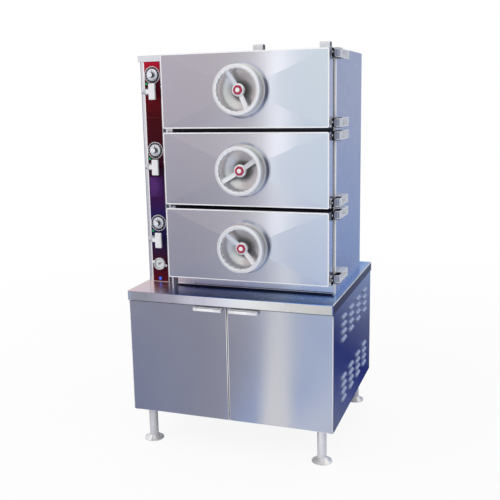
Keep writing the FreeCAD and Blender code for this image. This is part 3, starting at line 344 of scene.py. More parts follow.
# column: painted shade and a painted highlight along its rounded left edge
columnPaintedLight = (
    (-0.447, (0.40, 0.42, 0.52)), (-0.4412, (0.44, 0.46, 0.56)), (-0.4404, (1.0, 1.0, 1.0)),
    (-0.430, (1.0, 1.0, 1.0)), (-0.425, (0.76, 0.76, 0.77)), (0.457, (0.76, 0.76, 0.77)),
)
frontPaintedShade = (                # bright on the sill only; painted shade at its foot and in the gaps round the doors
    (0.708, (0.03, 0.03, 0.05)), (0.714, (0.05, 0.05, 0.08)), (0.720, (1.0, 1.0, 1.0)),
    (0.748, (1.0, 1.0, 1.0)), (0.756, (0.03, 0.03, 0.04)), (1.708, (0.03, 0.03, 0.04)),
)
steelLooks = {
    "steelDoors": {"colour": (0.70, 0.72, 0.78), "stain": (0.66, 0.67, 0.73), "grain": "level",
                   "rough": (0.19, 0.24), "sheen": 0.9},
    "steelBase": {"colour": (0.62, 0.63, 0.67), "stain": (0.58, 0.59, 0.65), "grain": "level",
                  "rough": (0.18, 0.23), "sheen": 0.9},
    "steelSides": {"colour": (0.58, 0.61, 0.67), "stain": (0.42, 0.46, 0.56), "grain": "level",
                   "rough": (0.20, 0.32), "sheen": 0.6, "cloud": 12.0, "mottle": 0.6},
    "steelPanels": {"colour": (0.56, 0.60, 0.68), "stain": (0.52, 0.56, 0.65), "grain": "level",
                    "rough": (0.18, 0.24), "sheen": 0.6},
    "steelTop": {"colour": (0.90, 0.90, 0.92), "stain": (0.84, 0.83, 0.88), "grain": "across",
                 "rough": (0.24, 0.32), "sheen": 0.4, "axis": "Y", "paintedLight": ("X", topPaintedLight)},
    "steelFront": {"colour": (0.86, 0.82, 0.84), "stain": (0.80, 0.76, 0.80), "grain": "across",
                   "rough": (0.24, 0.32), "sheen": 0.3, "paintedLight": ("Z", frontPaintedShade)},
    "steelColumn": {"colour": (0.98, 0.98, 1.00), "stain": (0.92, 0.92, 0.96), "grain": "upright",
                    "rough": (0.24, 0.34), "sheen": 0.5, "turn": 0.0, "paintedLight": ("X", columnPaintedLight)},
    "steelInside": {"colour": (0.58, 0.58, 0.60), "stain": (0.50, 0.50, 0.53), "grain": "level",
                    "rough": (0.26, 0.36), "sheen": 0.5},
}


def turnedSteel(name, colour, rough, sheen=0.8):
    # face spun on a lathe: fine rings and a fan-shaped highlight; its object stands at its middle
    finish = Finish(name, Metallic=1.0, Anisotropic=sheen, Anisotropic_Rotation=0.25)
    coords = finish.node("ShaderNodeTexCoord")
    wave = finish.node("ShaderNodeTexWave", wave_type="RINGS", rings_direction="Y")
    for key, value in (("Scale", 90.0), ("Distortion", 1.5), ("Detail", 3.0),
                       ("Vector", coords.outputs["Object"])):
        finish.wire(value, wave.inputs[key])
    rings = wave.outputs["Fac"]
    base = finish.ramp(rings, [(0.0, shade(colour, 0.93)), (1.0, shade(colour, 1.04))])
    finish.paint(base, finish.span(rings, *rough, 0.0, 1.0))
    finish.brushRound("Y")
    finish.bump(rings, 0.00004, 0.3)
    return finish.material


def polishedMetal(name, colour, rough, scale=60.0, depth=0.00008, metal=1.0, paintedLight=None):
    # buffed casting or plated part: small ripples and faint wear
    finish = Finish(name, Metallic=metal)
    ripple = finish.noise((scale,) * 3, 5.0)
    base = finish.ramp(ripple, [(0.30, shade(colour, 0.97)), (0.70, shade(colour, 1.01))])
    # painted reflection and shade along one axis, where given
    if paintedLight:
        base = paintLightAlong(finish, base, *paintedLight)
    finish.paint(base, finish.span(ripple, *rough))
    finish.bump(ripple, depth, 0.2)
    return finish.material


def mouldedPlastic(name, colour, rough, gloss=0.0, scale=400.0, shine=0.5):
    # moulded part with a fine grain; gloss is the clear layer on it
    finish = Finish(name, Coat_Weight=gloss, Coat_Roughness=0.08, Specular_IOR_Level=shine)
    grain = finish.noise((scale,) * 3, 3.0)
    base = finish.ramp(grain, [(0.30, shade(colour, 0.94)), (0.70, shade(colour, 1.03))])
    finish.paint(base, finish.span(grain, *rough))
    finish.bump(grain, 0.00003, 0.3)
    return finish.material


def litPlastic(name, colour, glow):
    # lens of a lamp: clear layer over a colour that glows a little
    finish = Finish(name, Coat_Weight=0.6, Coat_Roughness=0.05, Roughness=0.3,
                    Emission_Color=(*colour, 1), Emission_Strength=glow)
    facets = finish.noise((900,) * 3, 2.0)
    finish.paint(finish.ramp(facets, [(0.3, shade(colour, 0.75)), (0.7, shade(colour, 1.15))]))
    return finish.material


filmColourAndReflections = (                # colour of the printed film by height above the floor: a dark red print, its changes with height painted reflections
    (0.710, (0.100, 0.004, 0.010)),
    (0.800, (0.050, 0.003, 0.018)),
    (0.900, (0.014, 0.010, 0.075)),
    (1.020, (0.020, 0.008, 0.085)),
    (1.090, (0.040, 0.006, 0.060)),
    (1.200, (0.030, 0.004, 0.030)),
    (1.260, (0.045, 0.002, 0.010)),
    (1.443, (0.060, 0.001, 0.004)),
    (1.520, (0.120, 0.001, 0.006)),
    (1.590, (0.055, 0.001, 0.006)),
    (1.630, (0.180, 0.002, 0.012)),
    (1.685, (0.520, 0.006, 0.030)),
)


def printedFilm(name):
    # print on the column: red at the top, then maroon, purple, and dark red at the foot, a dark red print
    # whose changes with height are painted reflections
    finish = Finish(name, Coat_Weight=0.03, Coat_Roughness=0.12, Roughness=0.5,
                    Specular_IOR_Level=0.06)
    finish.paint(finish.rampAlong("Z", filmColourAndReflections))
    finish.bump(finish.noise((300,) * 3, 2.0), 0.00002, 0.2)
    return finish.material


def clearGlass(name):
    # thin window that only shows by its shine
    finish = Finish(name, Base_Color=(0.9, 0.95, 1.0, 1), Alpha=0.04)
    smear = finish.noise((120,) * 3, 2.0)
    finish.wire(finish.span(smear, 0.02, 0.08), finish.shader.inputs["Roughness"])
    return finish.material


metals = {                   # colour, roughness, scale and depth of the ripples, metallic share
    "wheelMetal": ((0.82, 0.83, 0.85), (0.20, 0.26), 40.0, 0.00002, 0.5),
    "chrome": ((0.82, 0.83, 0.86), (0.06, 0.14), 90.0, 0.00003),
    "hingeMetal": ((0.94, 0.95, 0.98), (0.16, 0.24), 60.0, 0.00002, 0.20),
    "pinMetal": ((0.78, 0.79, 0.82), (0.12, 0.22), 200.0),
    "legMetal": ((0.95, 0.94, 0.93), (0.07, 0.12), 40.0, 0.00002, 0.45),
    "galvanised": ((0.50, 0.52, 0.55), (0.35, 0.50), 30.0),
    # near white and barely metallic: a painted highlight on folds and edges
    "edgeHighlight": ((0.98, 0.98, 1.00), (0.16, 0.24), 60.0, 0.00002, 0.12),
    # worktop's front edge, with painted reflections and shade along it
    "edgeSteel": ((0.87, 0.87, 0.87), (0.26, 0.30), 12.0, 0.00001, 0.12, ("X", edgePaintedLight)),
    # near black and barely metallic: painted shade on the worktop's right side
    "sideShade": ((0.040, 0.034, 0.064), (0.28, 0.36), 30.0, 0.00001, 0.2),
    # near white and barely metallic: a painted highlight on the pulls
    "pullHighlight": ((0.97, 0.97, 0.98), (0.26, 0.30), 20.0, 0.00001, 0.12),
    "skirtMetal": ((0.84, 0.87, 0.92), (0.14, 0.22), 200.0, 0.00002, 0.5),
    "gripMetal": ((0.90, 0.92, 0.95), (0.14, 0.22), 120.0, 0.00002, 0.3),
    "brass": ((0.62, 0.45, 0.22), (0.28, 0.42), 80.0),
}
plastics = {                 # colour, roughness, clear layer, scale of the grain, shine
    "gripBlack": ((0.016, 0.018, 0.028), (0.30, 0.40), 0.3),
    "redCap": ((0.42, 0.004, 0.050), (0.22, 0.32), 0.25),
    "capWhite": ((0.86, 0.84, 0.85), (0.25, 0.35), 0.5),
    "paddleWhite": ((0.82, 0.82, 0.84), (0.30, 0.42), 0.3),
    "printWhite": ((0.80, 0.80, 0.84), (0.40, 0.50)),
    "printBlack": ((0.010, 0.009, 0.012), (0.30, 0.40), 0.3),
    "printPurple": ((0.080, 0.024, 0.150), (0.50, 0.60), 0.0, 400.0, 0.06),
    "dialInk": ((0.012, 0.008, 0.022), (0.40, 0.50), 0.1),
    "dialWhite": ((0.84, 0.86, 0.88), (0.30, 0.40), 0.3),
    "seamInk": ((0.180, 0.040, 0.045), (0.45, 0.55)),
    "sleeveGrey": ((0.52, 0.53, 0.57), (0.35, 0.45), 0.2),
    "needleBlack": ((0.012, 0.012, 0.014), (0.35, 0.45)),
    # near black: painted shade on the hinge straps and above and below the brackets
    "hingeShade": ((0.004, 0.004, 0.008), (0.60, 0.75), 0.0, 400.0, 0.03),
    "rubber": ((0.32, 0.31, 0.30), (0.55, 0.70)),
    "boilerPaint": ((0.30, 0.32, 0.34), (0.45, 0.60), 0.0, 60.0),
}

finishes = {name: brushedSteel(name, look) for name, look in steelLooks.items()}
finishes |= {name: polishedMetal(name, *look) for name, look in metals.items()}
finishes |= {name: mouldedPlastic(name, *look) for name, look in plastics.items()}
finishes["bossMetal"] = turnedSteel("bossMetal", (0.72, 0.69, 0.67), (0.26, 0.34))
finishes["greenLens"] = litPlastic("greenLens", (0.010, 0.300, 0.110), 0.35)
finishes["blueLens"] = litPlastic("blueLens", (0.030, 0.090, 0.620), 0.9)
finishes["film"] = printedFilm("film")
finishes["glass"] = clearGlass("glass")
print("finishes made")


# What the frame brings

nodeFinishes = {
    "worktop": "steelTop",
    "cabinet_frame": "galvanised",
    "cabinet_panels": "steelPanels",
    "cabinet_door_left": "steelBase",
    "cabinet_door_right": "steelBase",
    "leg_tubes": "legMetal",
    "body_casing": "steelSides",
    "body_front": "steelFront",
    "pan_runners": "steelInside",
    "lifting_straps": "steelColumn",
    "hinge_brackets": "hingeMetal",
    "hinge_pins": "pinMetal",
    "latch_post": "pinMetal",
    "control_column": "steelColumn",
    "column_cap": "skirtMetal",
    "control_panel": "film",
    "pilot_lamps": "greenLens",
    "lever_brackets": "chrome",
    "gauge_case": "gripMetal",
    "gauge_needle": "needleBlack",
    "power_button": "blueLens",
    "boiler": "boilerPaint",
    "steam_pipes": "brass",
    "drain_pipes": "brass",
    "water_inlet": "brass",
    "control_box": "galvanised",
    "chamber": "steelInside",
    "door_shell": "steelDoors",
    "door_plate": "steelInside",
    "gasket": "rubber",
    "spindle": "pinMetal",
    "latch": "pinMetal",
    "foot": "legMetal",
}


def dressNodes():
    for name, node in nodes.items():
        stem = name if name in nodeFinishes else name.rstrip("123").rstrip("_")
        if name.startswith("foot_"):
            stem = "foot"
        if stem not in nodeFinishes:
            continue
        material = finishes[nodeFinishes[stem]]
        if not node.material_slots:
            node.data.materials.append(material)
        for slot in node.material_slots:
            slot.material = material


dressNodes()
print("frame nodes finished")


# Handwheels

wheel = {
    "radius": 0.100,
    "band": 0.020,           # width of the rim, seen from the front
    "thick": 0.022,
    "squareness": 0.50,      # 1 is a round section, less is squarer
    "grips": 24,
    "gripDepth": 0.0035,
    "hubRadius": 0.026,
    "spokeWidth": 0.019,
    "spokeThick": 0.008,
    "spokeLip": 0.0022,      # raised edge of the spoke's channel
    "spokeInHub": 0.002,     # how far a spoke runs into the hub and into the rim
    "spokeInRim": 0.004,
    "spokeAngles": {1: 118.0, 2: 32.0, 3: 135.0},
}


def wheelRim(name):
    # the section is a soft square, and its inner side waves for the fingers
    aroundCount, sectionCount = 288, 28
    middle = wheel["radius"] - wheel["band"] / 2
    rings = []
    for around in range(aroundCount):
        turn = 2 * math.pi * around / aroundCount
        wave = 0.5 + 0.5 * math.cos(turn * wheel["grips"])
        rings.append([])
        for step in range(sectionCount):
            angle = 2 * math.pi * step / sectionCount
            sideways, forward = math.cos(angle), math.sin(angle)
            power = wheel["squareness"]
            dr = math.copysign(abs(sideways) ** power, sideways) * wheel["band"] / 2
            dy = math.copysign(abs(forward) ** power, forward) * wheel["thick"] / 2
            inward = max(0.0, -sideways) * (1.0 - 0.45 * max(0.0, forward))
            radius = middle + dr + wheel["gripDepth"] * inward * wave
            rings[-1].append((radius * math.cos(turn), -dy, radius * math.sin(turn)))
    return skin(name, rings, closed=True)


def wheelSpoke(name, hubForward, rimForward):
    # channel with raised edges that climbs from the hub to the rim
    inner = wheel["hubRadius"] - wheel["spokeInHub"]
    outer = wheel["radius"] - wheel["band"] + wheel["spokeInRim"]
    half, lip = wheel["spokeWidth"] / 2, wheel["spokeLip"]
    section = [(-half, -wheel["spokeThick"]), (-half, 0), (-half + lip, 0),
               (-half + 2 * lip, -lip * 0.7), (half - 2 * lip, -lip * 0.7), (half - lip, 0),
               (half, 0), (half, -wheel["spokeThick"])]
    rings = [[(x, -(forward + rise), side) for side, rise in section]
             for x, forward in ((inner, hubForward), (outer, rimForward))]
    return soften(skin(name, rings, ends=True), 0.0007, 2)


def makeHandwheel(number):
    low, _, centre = boxOf(f"handwheel_{number}")
    rimMiddle = low.y + wheel["thick"] / 2
    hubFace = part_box(f"wheel_cap_{number}")[1].y
    parts = [wheelRim("rim")]
    parts[0].location = (centre.x, rimMiddle, centre.z)
    hub = spin("hub", [(0.0102, 0.0), (0.0102, -0.0090), (0.0238, -0.0090), (0.0238, -0.0180),
                       (0.0252, -0.0180), (0.0260, -0.0165), (0.0260, -0.0040),
                       (0.0255, -0.0015), (0.0235, 0.0), (0.0102, 0.0)],
               (centre.x, hubFace, centre.z), 64)
    parts.append(hub)
    for turn in (0, 180):
        spoke = wheelSpoke("spoke", -0.003, hubFace - rimMiddle + wheel["spokeThick"] / 2)
        angle = math.radians(wheel["spokeAngles"][number] + turn)
        spoke.matrix_world = (Matrix.Translation((centre.x, hubFace, centre.z))
                              @ Matrix.Rotation(-angle, 4, "Y"))
        parts.append(spoke)
    whole = together(f"handwheelCast{number}", parts)
    for face in whole.data.polygons:
        face.use_smooth = True
    place(whole, "wheelMetal", f"wheel_{number}", "cast_wheel", f"handwheel_{number}")


cap = {
    "hole": 0.0112,
    "radius": 0.0197,
    "flat": 0.07,            # how far its six flats are cut in, as a share of the radius
}


def makeCap(number):
    # soft six-sided plastic ring round the bright nut
    _, high, centre = boxOf(f"wheel_cap_{number}")
    face = high.y
    outline = [(0.0095, 0.0), (0.0095, 0.0030), (0.0100, 0.0036), (0.0110, 0.0040),
               (0.0165, 0.0040), (0.0182, 0.0034), (0.0194, 0.0022), (0.0197, 0.0008),
               (0.0197, 0.0)]
    ring = spin(f"capRing{number}", outline, (centre.x, face, centre.z), 144)
    for vertex in ring.data.vertices:
        radius = math.hypot(vertex.co.x, vertex.co.z)
        angle = math.atan2(vertex.co.z, vertex.co.x) + math.radians(6)
        corner = abs((math.degrees(angle) % 60) - 30) / 30      # 1 at a corner, 0 at a flat
        if radius > cap["hole"]:
            share = (radius - cap["hole"]) / (cap["radius"] - cap["hole"])
            pull = 1 - cap["flat"] * share * (1 - corner ** 2)
            vertex.co.x *= pull
            vertex.co.z *= pull
    place(ring, "redCap", f"wheel_{number}", "red_cap", f"wheel_cap_{number}")
    nut = spin(f"capNut{number}",
               [(0.0095, 0.0), (0.0094, 0.0040), (0.0088, 0.0052), (0.0070, 0.0060),
                (0.0040, 0.0064), (0.0, 0.0065)],
               (centre.x, face, centre.z), 64)
    place(nut, "capWhite", f"wheel_{number}", "bright_steel")


for number in doorNumbers:
    makeHandwheel(number)
    makeCap(number)
print("handwheels made")


# Compartment doors

door = {
    "bossFaceRadius": 0.1035,
    "bossFaceProud": 0.0004,
    "bossBore": 0.0112,
    "foldRadius": 0.0034,    # rounded fold round the front of the pan
    "foldProud": 0.0009,
    "bootRadius": 0.0225,    # rubber boot between the boss and the wheel's hub
    "bootHeight": 0.0108,
    "bootFolds": 5,
    "strapInset": 0.0205,    # from the door's hinge side to the strap
    "strapSpan": (0.041, 0.087),    # from the boss's face backward
    "strapBolt": 0.0046,
    "strapBoltAt": (0.055, 0.020),  # backward and upward
    "panProud": 0.020,       # the boss stands this far in front of the pan's rim
}
bracketHeight = 0.034        # of each hinge bracket and of the strap that it holds


def tubeRound(name, corners, radius, corner, steps=8, sides=10):
    # closed tube round a rectangle in the XZ plane, its corners turned in arcs
    (x0, z0), (x1, z1), y = corners
    path = []
    for cx, cz, start in ((x1 - corner, z1 - corner, 0), (x0 + corner, z1 - corner, 90),
                          (x0 + corner, z0 + corner, 180), (x1 - corner, z0 + corner, 270)):
        for step in range(steps + 1):
            angle = math.radians(start + 90 * step / steps)
            path.append((cx, cz, math.cos(angle), math.sin(angle)))
    rings = [[(cx + outX * (corner + across), y + up, cz + outZ * (corner + across))
              for across, up in circle(sides, radius)] for cx, cz, outX, outZ in path]
    return skin(name, rings, closed=True)


def screwHead(name, radius, spot, turn):
    # low domed head with a round recess, facing the front before it is turned
    head = spin(name, [(0.0, radius * 0.16), (radius * 0.30, radius * 0.18),
                       (radius * 0.34, radius * 0.34), (radius * 0.70, radius * 0.30),
                       (radius * 0.94, radius * 0.14), (radius, 0.0)], (0, 0, 0), 24)
    head.matrix_world = Matrix.Translation(spot) @ turn
    return head


def addStraps(number, low, high):
    # strap ends on the hinge side, each with a bolt, dark with painted shade
    side = high.x - door["strapInset"]
    outward = Matrix.Rotation(math.pi / 2, 4, "Z")
    start, end = door["strapSpan"]
    back, up = door["strapBoltAt"]
    plates, bolts = [], []
    for z in (low.z, high.z - bracketHeight):
        plates.append(boxShape("strap", (side - 0.0002, low.y + start, z + 0.0005),
                               (side + 0.0008, low.y + end, z + bracketHeight - 0.0005), 0.0004, 2))
        bolts.append(screwHead("bolt", door["strapBolt"], (side + 0.0008, low.y + back, z + up),
                               outward))
    place(together(f"straps{number}", plates), "hingeShade", f"door_{number}", "gasket_rubber")
    place(together(f"strapBolts{number}", bolts), "capWhite", f"door_{number}", "bright_steel")


def makeDoorLooks(number):
    low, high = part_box(f"door_shell_{number}")
    centre = boxOf(f"handwheel_{number}")[2]
    bore, outer, proud = door["bossBore"], door["bossFaceRadius"], door["bossFaceProud"]
    face = spin(f"bossFace{number}", [(bore, 0.0), (bore, proud), (outer - 0.0008, proud),
                                      (outer, 0.0)], (centre.x, low.y, centre.z), 128)
    place(face, "bossMetal", f"door_{number}", "stainless")
    radius, height = door["bootRadius"], door["bootHeight"]
    boot = [(bore, proud)]
    for fold in range(door["bootFolds"]):
        start = proud + height * fold / door["bootFolds"]
        boot += [(radius - 0.0012, start), (radius, start + height * 0.5 / door["bootFolds"])]
    boot += [(radius - 0.0015, proud + height), (bore, proud + height)]
    cover = spin(f"spindleBoot{number}", boot, (centre.x, low.y, centre.z), 64)
    place(cover, "rubber", f"door_{number}", "gasket_rubber")
    addStraps(number, low, high)
    inset = door["foldRadius"] - door["foldProud"]
    middle = boxOf(f"chamber_{number}")[2].z
    half = (high.z - low.z) / 2
    left, right = low.x + inset, centre.x * 2 - low.x - inset     # the wheel stands midway
    fold = tubeRound(f"doorFold{number}",
                     ((left, middle - half + inset), (right, middle + half - inset),
                      low.y + door["panProud"] + inset), door["foldRadius"], 0.004)
    # the fold's white is a painted highlight
    place(fold, "edgeHighlight", f"door_{number}", "stainless")


for number in doorNumbers:
    makeDoorLooks(number)
print("compartment doors finished")


# Steam levers

lever = {
    "sleeveRadius": 0.0130,
    "sleeveBore": 0.0051,
    "sleeveEdge": 0.0010,    # slope at both ends of the sleeve
    "sleeveRibs": 5,
    "ribDepth": 0.0005,
    "bracketEar": 0.0055,    # room that the bracket's right ear takes
    "paddleWide": 0.031,
    "paddleThick": 0.012,
    "paddleRound": 0.0032,
    "neck": 0.016,
}


def spinAcross(name, outline, start, steps=48):
    # like spin, but about an axis that points to +X
    piece = spin(name, outline, start, steps)
    piece.rotation_euler = (0, 0, math.pi / 2)
    return piece


def makeLever(number):
    low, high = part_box(f"steam_lever_{number}")
    axisZ = (low.z + high.z) / 2
    axisY = high.y - lever["sleeveRadius"]
    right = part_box("lever_brackets")[1].x - lever["bracketEar"]
    length = right - low.x
    radius = lever["sleeveRadius"]
    bore, edge = lever["sleeveBore"], lever["sleeveEdge"]
    outline = [(bore, 0.0), (radius - edge, 0.0), (radius, edge)]
    for rib in range(lever["sleeveRibs"]):
        middle = length * (rib + 1) / (lever["sleeveRibs"] + 1)
        outline += [(radius, middle - 0.0012), (radius - lever["ribDepth"], middle - 0.0006),
                    (radius - lever["ribDepth"], middle + 0.0006), (radius, middle + 0.0012)]
    outline += [(radius, length - edge), (radius - edge, length), (bore, length), (bore, 0.0)]
    sleeve = spinAcross(f"leverSleeve{number}", outline, (low.x, axisY, axisZ))
    place(sleeve, "sleeveGrey", f"lever_{number}", "paddle_white", f"steam_lever_{number}")
    paddle = boxShape(f"paddle{number}", (high.x - lever["paddleWide"], low.y, low.z),
                      (high.x, low.y + lever["paddleThick"], high.z), lever["paddleRound"], 4)
    half = lever["neck"] / 2
    neck = boxShape("neck", (right - lever["neck"], low.y + 0.006, axisZ - half),
                    (right - 0.0005, axisY - radius * 0.6, axisZ + half), 0.0015, 2)
    whole = together(f"paddle{number}", [paddle, neck])
    place(whole, "paddleWhite", f"lever_{number}", "paddle_white")


for number in doorNumbers:
    makeLever(number)
print("steam levers made")


# Timers

timer = {
    "gap": 0.0005,           # between the film and the skirt
    "skirtRadius": 0.0260,
    "gripStart": 0.0046,     # from the skirt's back to the grip
    "gripRadius": 0.0125,
    "gripFlutes": 18,
    "fluteDepth": 0.0005,
    "bandRadii": (0.0272, 0.0334),
    "rimRadii": (0.0344, 0.0366),
    "ticks": 15,
    "tickSpan": 300.0,       # degrees
    "tickSize": (0.0042, 0.0013),
    "lampAside": 0.028,      # the pilot lamp's place, left of the knob and below it
    "lampBelow": 0.037,
}


def flatRing(name, centre, radii, surface, proud, steps=96):
    inner, outer = radii
    return spin(name, [(inner, 0.0), (inner, proud), (outer, proud), (outer, 0.0)],
                (centre.x, surface, centre.z), steps)


def tickMarks(name, centre, surface, radius, count, spanDegrees, size, proud):
    # short bars round a dial, the first and last symmetric about the bottom
    long, wide = size
    points, faces = [], []
    for index in range(count):
        angle = math.radians(90 + spanDegrees / 2 - spanDegrees * index / (count - 1))
        along = Vector((math.cos(angle), 0, math.sin(angle)))
        side = Vector((-along.z, 0, along.x))
        base = len(points)
        for forward in (0.0, proud):
            for a, b in ((-1, -1), (1, -1), (1, 1), (-1, 1)):
                spot = along * (radius + a * long / 2) + side * (b * wide / 2)
                points.append((spot.x, -forward, spot.z))
        faces.append(tuple(base + k for k in (4, 5, 6, 7)))
        faces += ringFaces(base, base + 4, 4)
    return addMesh(name, points, faces, (centre.x, surface, centre.z), False)


def makeGrip(name, spot, radius, length, flutes, depth, steps=144):
    # fluted sides of a turned grip
    outline = [(1.0, 0.0), (0.985, 0.12), (0.97, 0.55), (0.955, 0.93), (0.90, 0.97), (0.78, 0.97)]
    rings = []
    for share, forward in outline:
        rings.append([])
        for step in range(steps):
            angle = 2 * math.pi * step / steps
            bite = depth * (0.5 + 0.5 * math.cos(flutes * angle)) if forward < 0.95 else 0.0
            reach = radius * share - bite
            rings[-1].append((reach * math.cos(angle), -forward * length, reach * math.sin(angle)))
    return skin(name, rings, spot)


def makeTimer(number):
    low, _, centre = boxOf(f"timer_knob_{number}")
    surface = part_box("control_panel")[0].y
    face = surface - timer["gap"]
    radius = timer["skirtRadius"]
    skirt = spin(f"timerSkirt{number}",
                 [(0.0031, 0.0), (radius - 0.0004, 0.0), (radius, 0.0004), (radius, 0.0016),
                  (radius - 0.0012, 0.0030), (radius - 0.0050, 0.0046), (0.0165, 0.0050),
                  (0.0140, 0.0046), (0.0115, 0.0050)], (centre.x, face, centre.z), 96)
    place(skirt, "skirtMetal", f"timer_{number}", "knob_chrome", f"timer_knob_{number}")
    start = face - timer["gripStart"]
    radius, length = timer["gripRadius"], start - low.y
    grip = makeGrip(f"timerGrip{number}", (centre.x, start, centre.z), radius, length,
                    timer["gripFlutes"], timer["fluteDepth"])
    place(grip, "gripBlack", f"timer_{number}", "knob_chrome")
    plate = spin(f"timerFace{number}",
                 [(radius * 0.90, -length * 0.05), (radius * 0.90, -0.0006), (radius * 0.84, 0.0),
                  (radius * 0.45, -0.0003), (0.0, -0.0004)], (centre.x, low.y, centre.z), 72)
    place(plate, "gripMetal", f"timer_{number}", "knob_chrome")
    rib = boxShape(f"timerPointer{number}", (centre.x - 0.0010, start - 0.0012, centre.z + 0.0135),
                   (centre.x + 0.0010, start, centre.z + 0.0225), 0.0004, 2)
    place(rib, "printBlack", f"timer_{number}", "knob_chrome")
    band = flatRing(f"dialBand{number}", centre, timer["bandRadii"], surface, 0.0002)
    place(band, "dialInk", "root", "overlay_film")
    rim = flatRing(f"dialRim{number}", centre, timer["rimRadii"], surface, 0.0003)
    place(rim, "printWhite", "root", "overlay_film")
    ticks = tickMarks(f"dialTicks{number}", centre, surface, sum(timer["bandRadii"]) / 2,
                      timer["ticks"], timer["tickSpan"], timer["tickSize"], 0.0004)
    place(ticks, "printWhite", "root", "overlay_film")
    bezel = spin(f"lampBezel{number}", [(0.0060, 0.0), (0.0060, 0.0016), (0.0066, 0.0022),
                                        (0.0074, 0.0016), (0.0078, 0.0)],
                 (centre.x - timer["lampAside"], surface, centre.z - timer["lampBelow"]), 48)
    place(bezel, "printBlack", "root", "bright_steel")


for number in doorNumbers:
    makeTimer(number)
print("timers made")


# Gauge, button and printed film

gauge = {
    "faceProud": 0.005,      # from the film to the dial's face
    "faceRadius": 0.0243,
    "rimRadius": 0.0272,
    "ticks": 11,
    "tickSpan": 270.0,
    "tickSize": (0.0022, 0.0005),
}
blankBlock = {"low": (-0.421, 1.096), "high": (-0.356, 1.184), "proud": 0.0002}
filmSeam = {"height": 1.443, "wide": 0.0009, "proud": 0.0002}
button = {"radius": 0.0070, "bezel": 0.0094}


def makeGauge():
    low, _, centre = boxOf("gauge_case")
    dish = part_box("control_panel")[0].y - gauge["faceProud"]
    face = spin("gaugeFace", [(0.0016, 0.0), (0.0016, 0.0003), (gauge["faceRadius"], 0.0003),
                              (gauge["faceRadius"], 0.0)], (centre.x, dish, centre.z), 96)
    place(face, "dialWhite", "root", "bright_steel")
    ticks = tickMarks("gaugeTicks", centre, dish - 0.0003, gauge["faceRadius"] - 0.0032,
                      gauge["ticks"], gauge["tickSpan"], gauge["tickSize"], 0.0002)
    place(ticks, "needleBlack", "root", "bright_steel")
    rim = spin("gaugeRim", [(0.0240, 0.0), (0.0238, 0.0008), (0.0246, 0.0018), (0.0260, 0.0020),
                            (gauge["rimRadius"], 0.0010), (gauge["rimRadius"], -0.0095)],
               (centre.x, low.y, centre.z), 96)
    place(rim, "dialWhite", "root", "bright_steel")
    lens = spin("gaugeGlass", [(0.0, 0.0004), (0.0120, 0.0003), (0.0239, 0.0),
                               (0.0239, -0.0008), (0.0, -0.0008)],
                (centre.x, low.y + 0.0004, centre.z), 64)
    place(lens, "glass", "root", "bright_steel")


def makeButton():
    low, high, centre = boxOf("power_button")
    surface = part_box("control_panel")[0].y
    radius = button["radius"]
    depth = low.y - surface
    cap = spin("buttonLens", [(0.0, 0.0), (radius * 0.45, -0.0003), (radius * 0.80, -0.0012),
                              (radius, -0.0028), (radius, depth + 0.0032),
                              (0.0049, depth + 0.0032), (0.0049, low.y - high.y),
                              (0.0, low.y - high.y)], (centre.x, low.y, centre.z), 64)
    place(cap, "blueLens", "button", "blue_button", "power_button")
    bezel = spin("buttonBezel", [(radius + 0.0005, 0.0), (radius + 0.0005, 0.0020),
                                 (button["bezel"] - 0.0006, 0.0020), (button["bezel"], 0.0)],
                 (centre.x, surface, centre.z), 64)
    place(bezel, "printBlack", "root", "bright_steel")


def makePrint():
    low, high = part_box("control_panel")
    surface = low.y
    (x0, z0), (x1, z1) = blankBlock["low"], blankBlock["high"]
    block = boxShape("blankBlock", (x0, surface - blankBlock["proud"], z0),
                     (x1, surface + 0.0002, z1))
    place(block, "printPurple", "root", "overlay_film")
    z = filmSeam["height"]
    seam = boxShape("filmSeam", (low.x + 0.001, surface - filmSeam["proud"], z),
                    (high.x - 0.001, surface + 0.0002, z + filmSeam["wide"]))
    place(seam, "seamInk", "root", "overlay_film")


makeGauge()
makeButton()
makePrint()
print("gauge, button and print made")


# Edges, pulls and hinges

edges = {
    "worktopCrown": 0.0016,  # how far the front edge swells forward
    "worktopSkirt": 0.0405,  # height of the turned-down edge
    "cornerWide": 0.0085,    # bright fold at the casing's right front corner, its white a painted highlight
    "cornerDeep": 0.0160,    # backward from the casing's front
    "cornerProud": 0.0040,
    "columnFold": 0.0050,    # bright fold beside the printed film, its white a painted highlight
    "doorBead": 0.0016,
    "pullReach": 0.024,      # from the lip of the pull back to the door face
    "pullWide": 0.124,
    "pullAside": 0.080,
    "pullLip": 0.0155,       # height of its turned-down lip
    "pullThick": 0.0032,
    "pullProud": 0.0005,     # how far it stands outside the door's own sheet
    "pinHead": 0.0066,
    "pinInset": 0.012,       # from the bracket's right side and front to the pin
    "screwRadius": 0.0038,
    "screwInset": 0.0220,
    "screwsAlong": (0.052, 0.100),
    # thickness of the painted shadow strips above and below each bracket
    "shadeStripThick": 0.0022,
}


def extrudeAlong(name, outline, x0, x1):
    # closed (y, z) outline drawn out from x0 to x1
    return skin(name, [[(x, y, z) for y, z in outline] for x in (x0, x1)], ends=True)


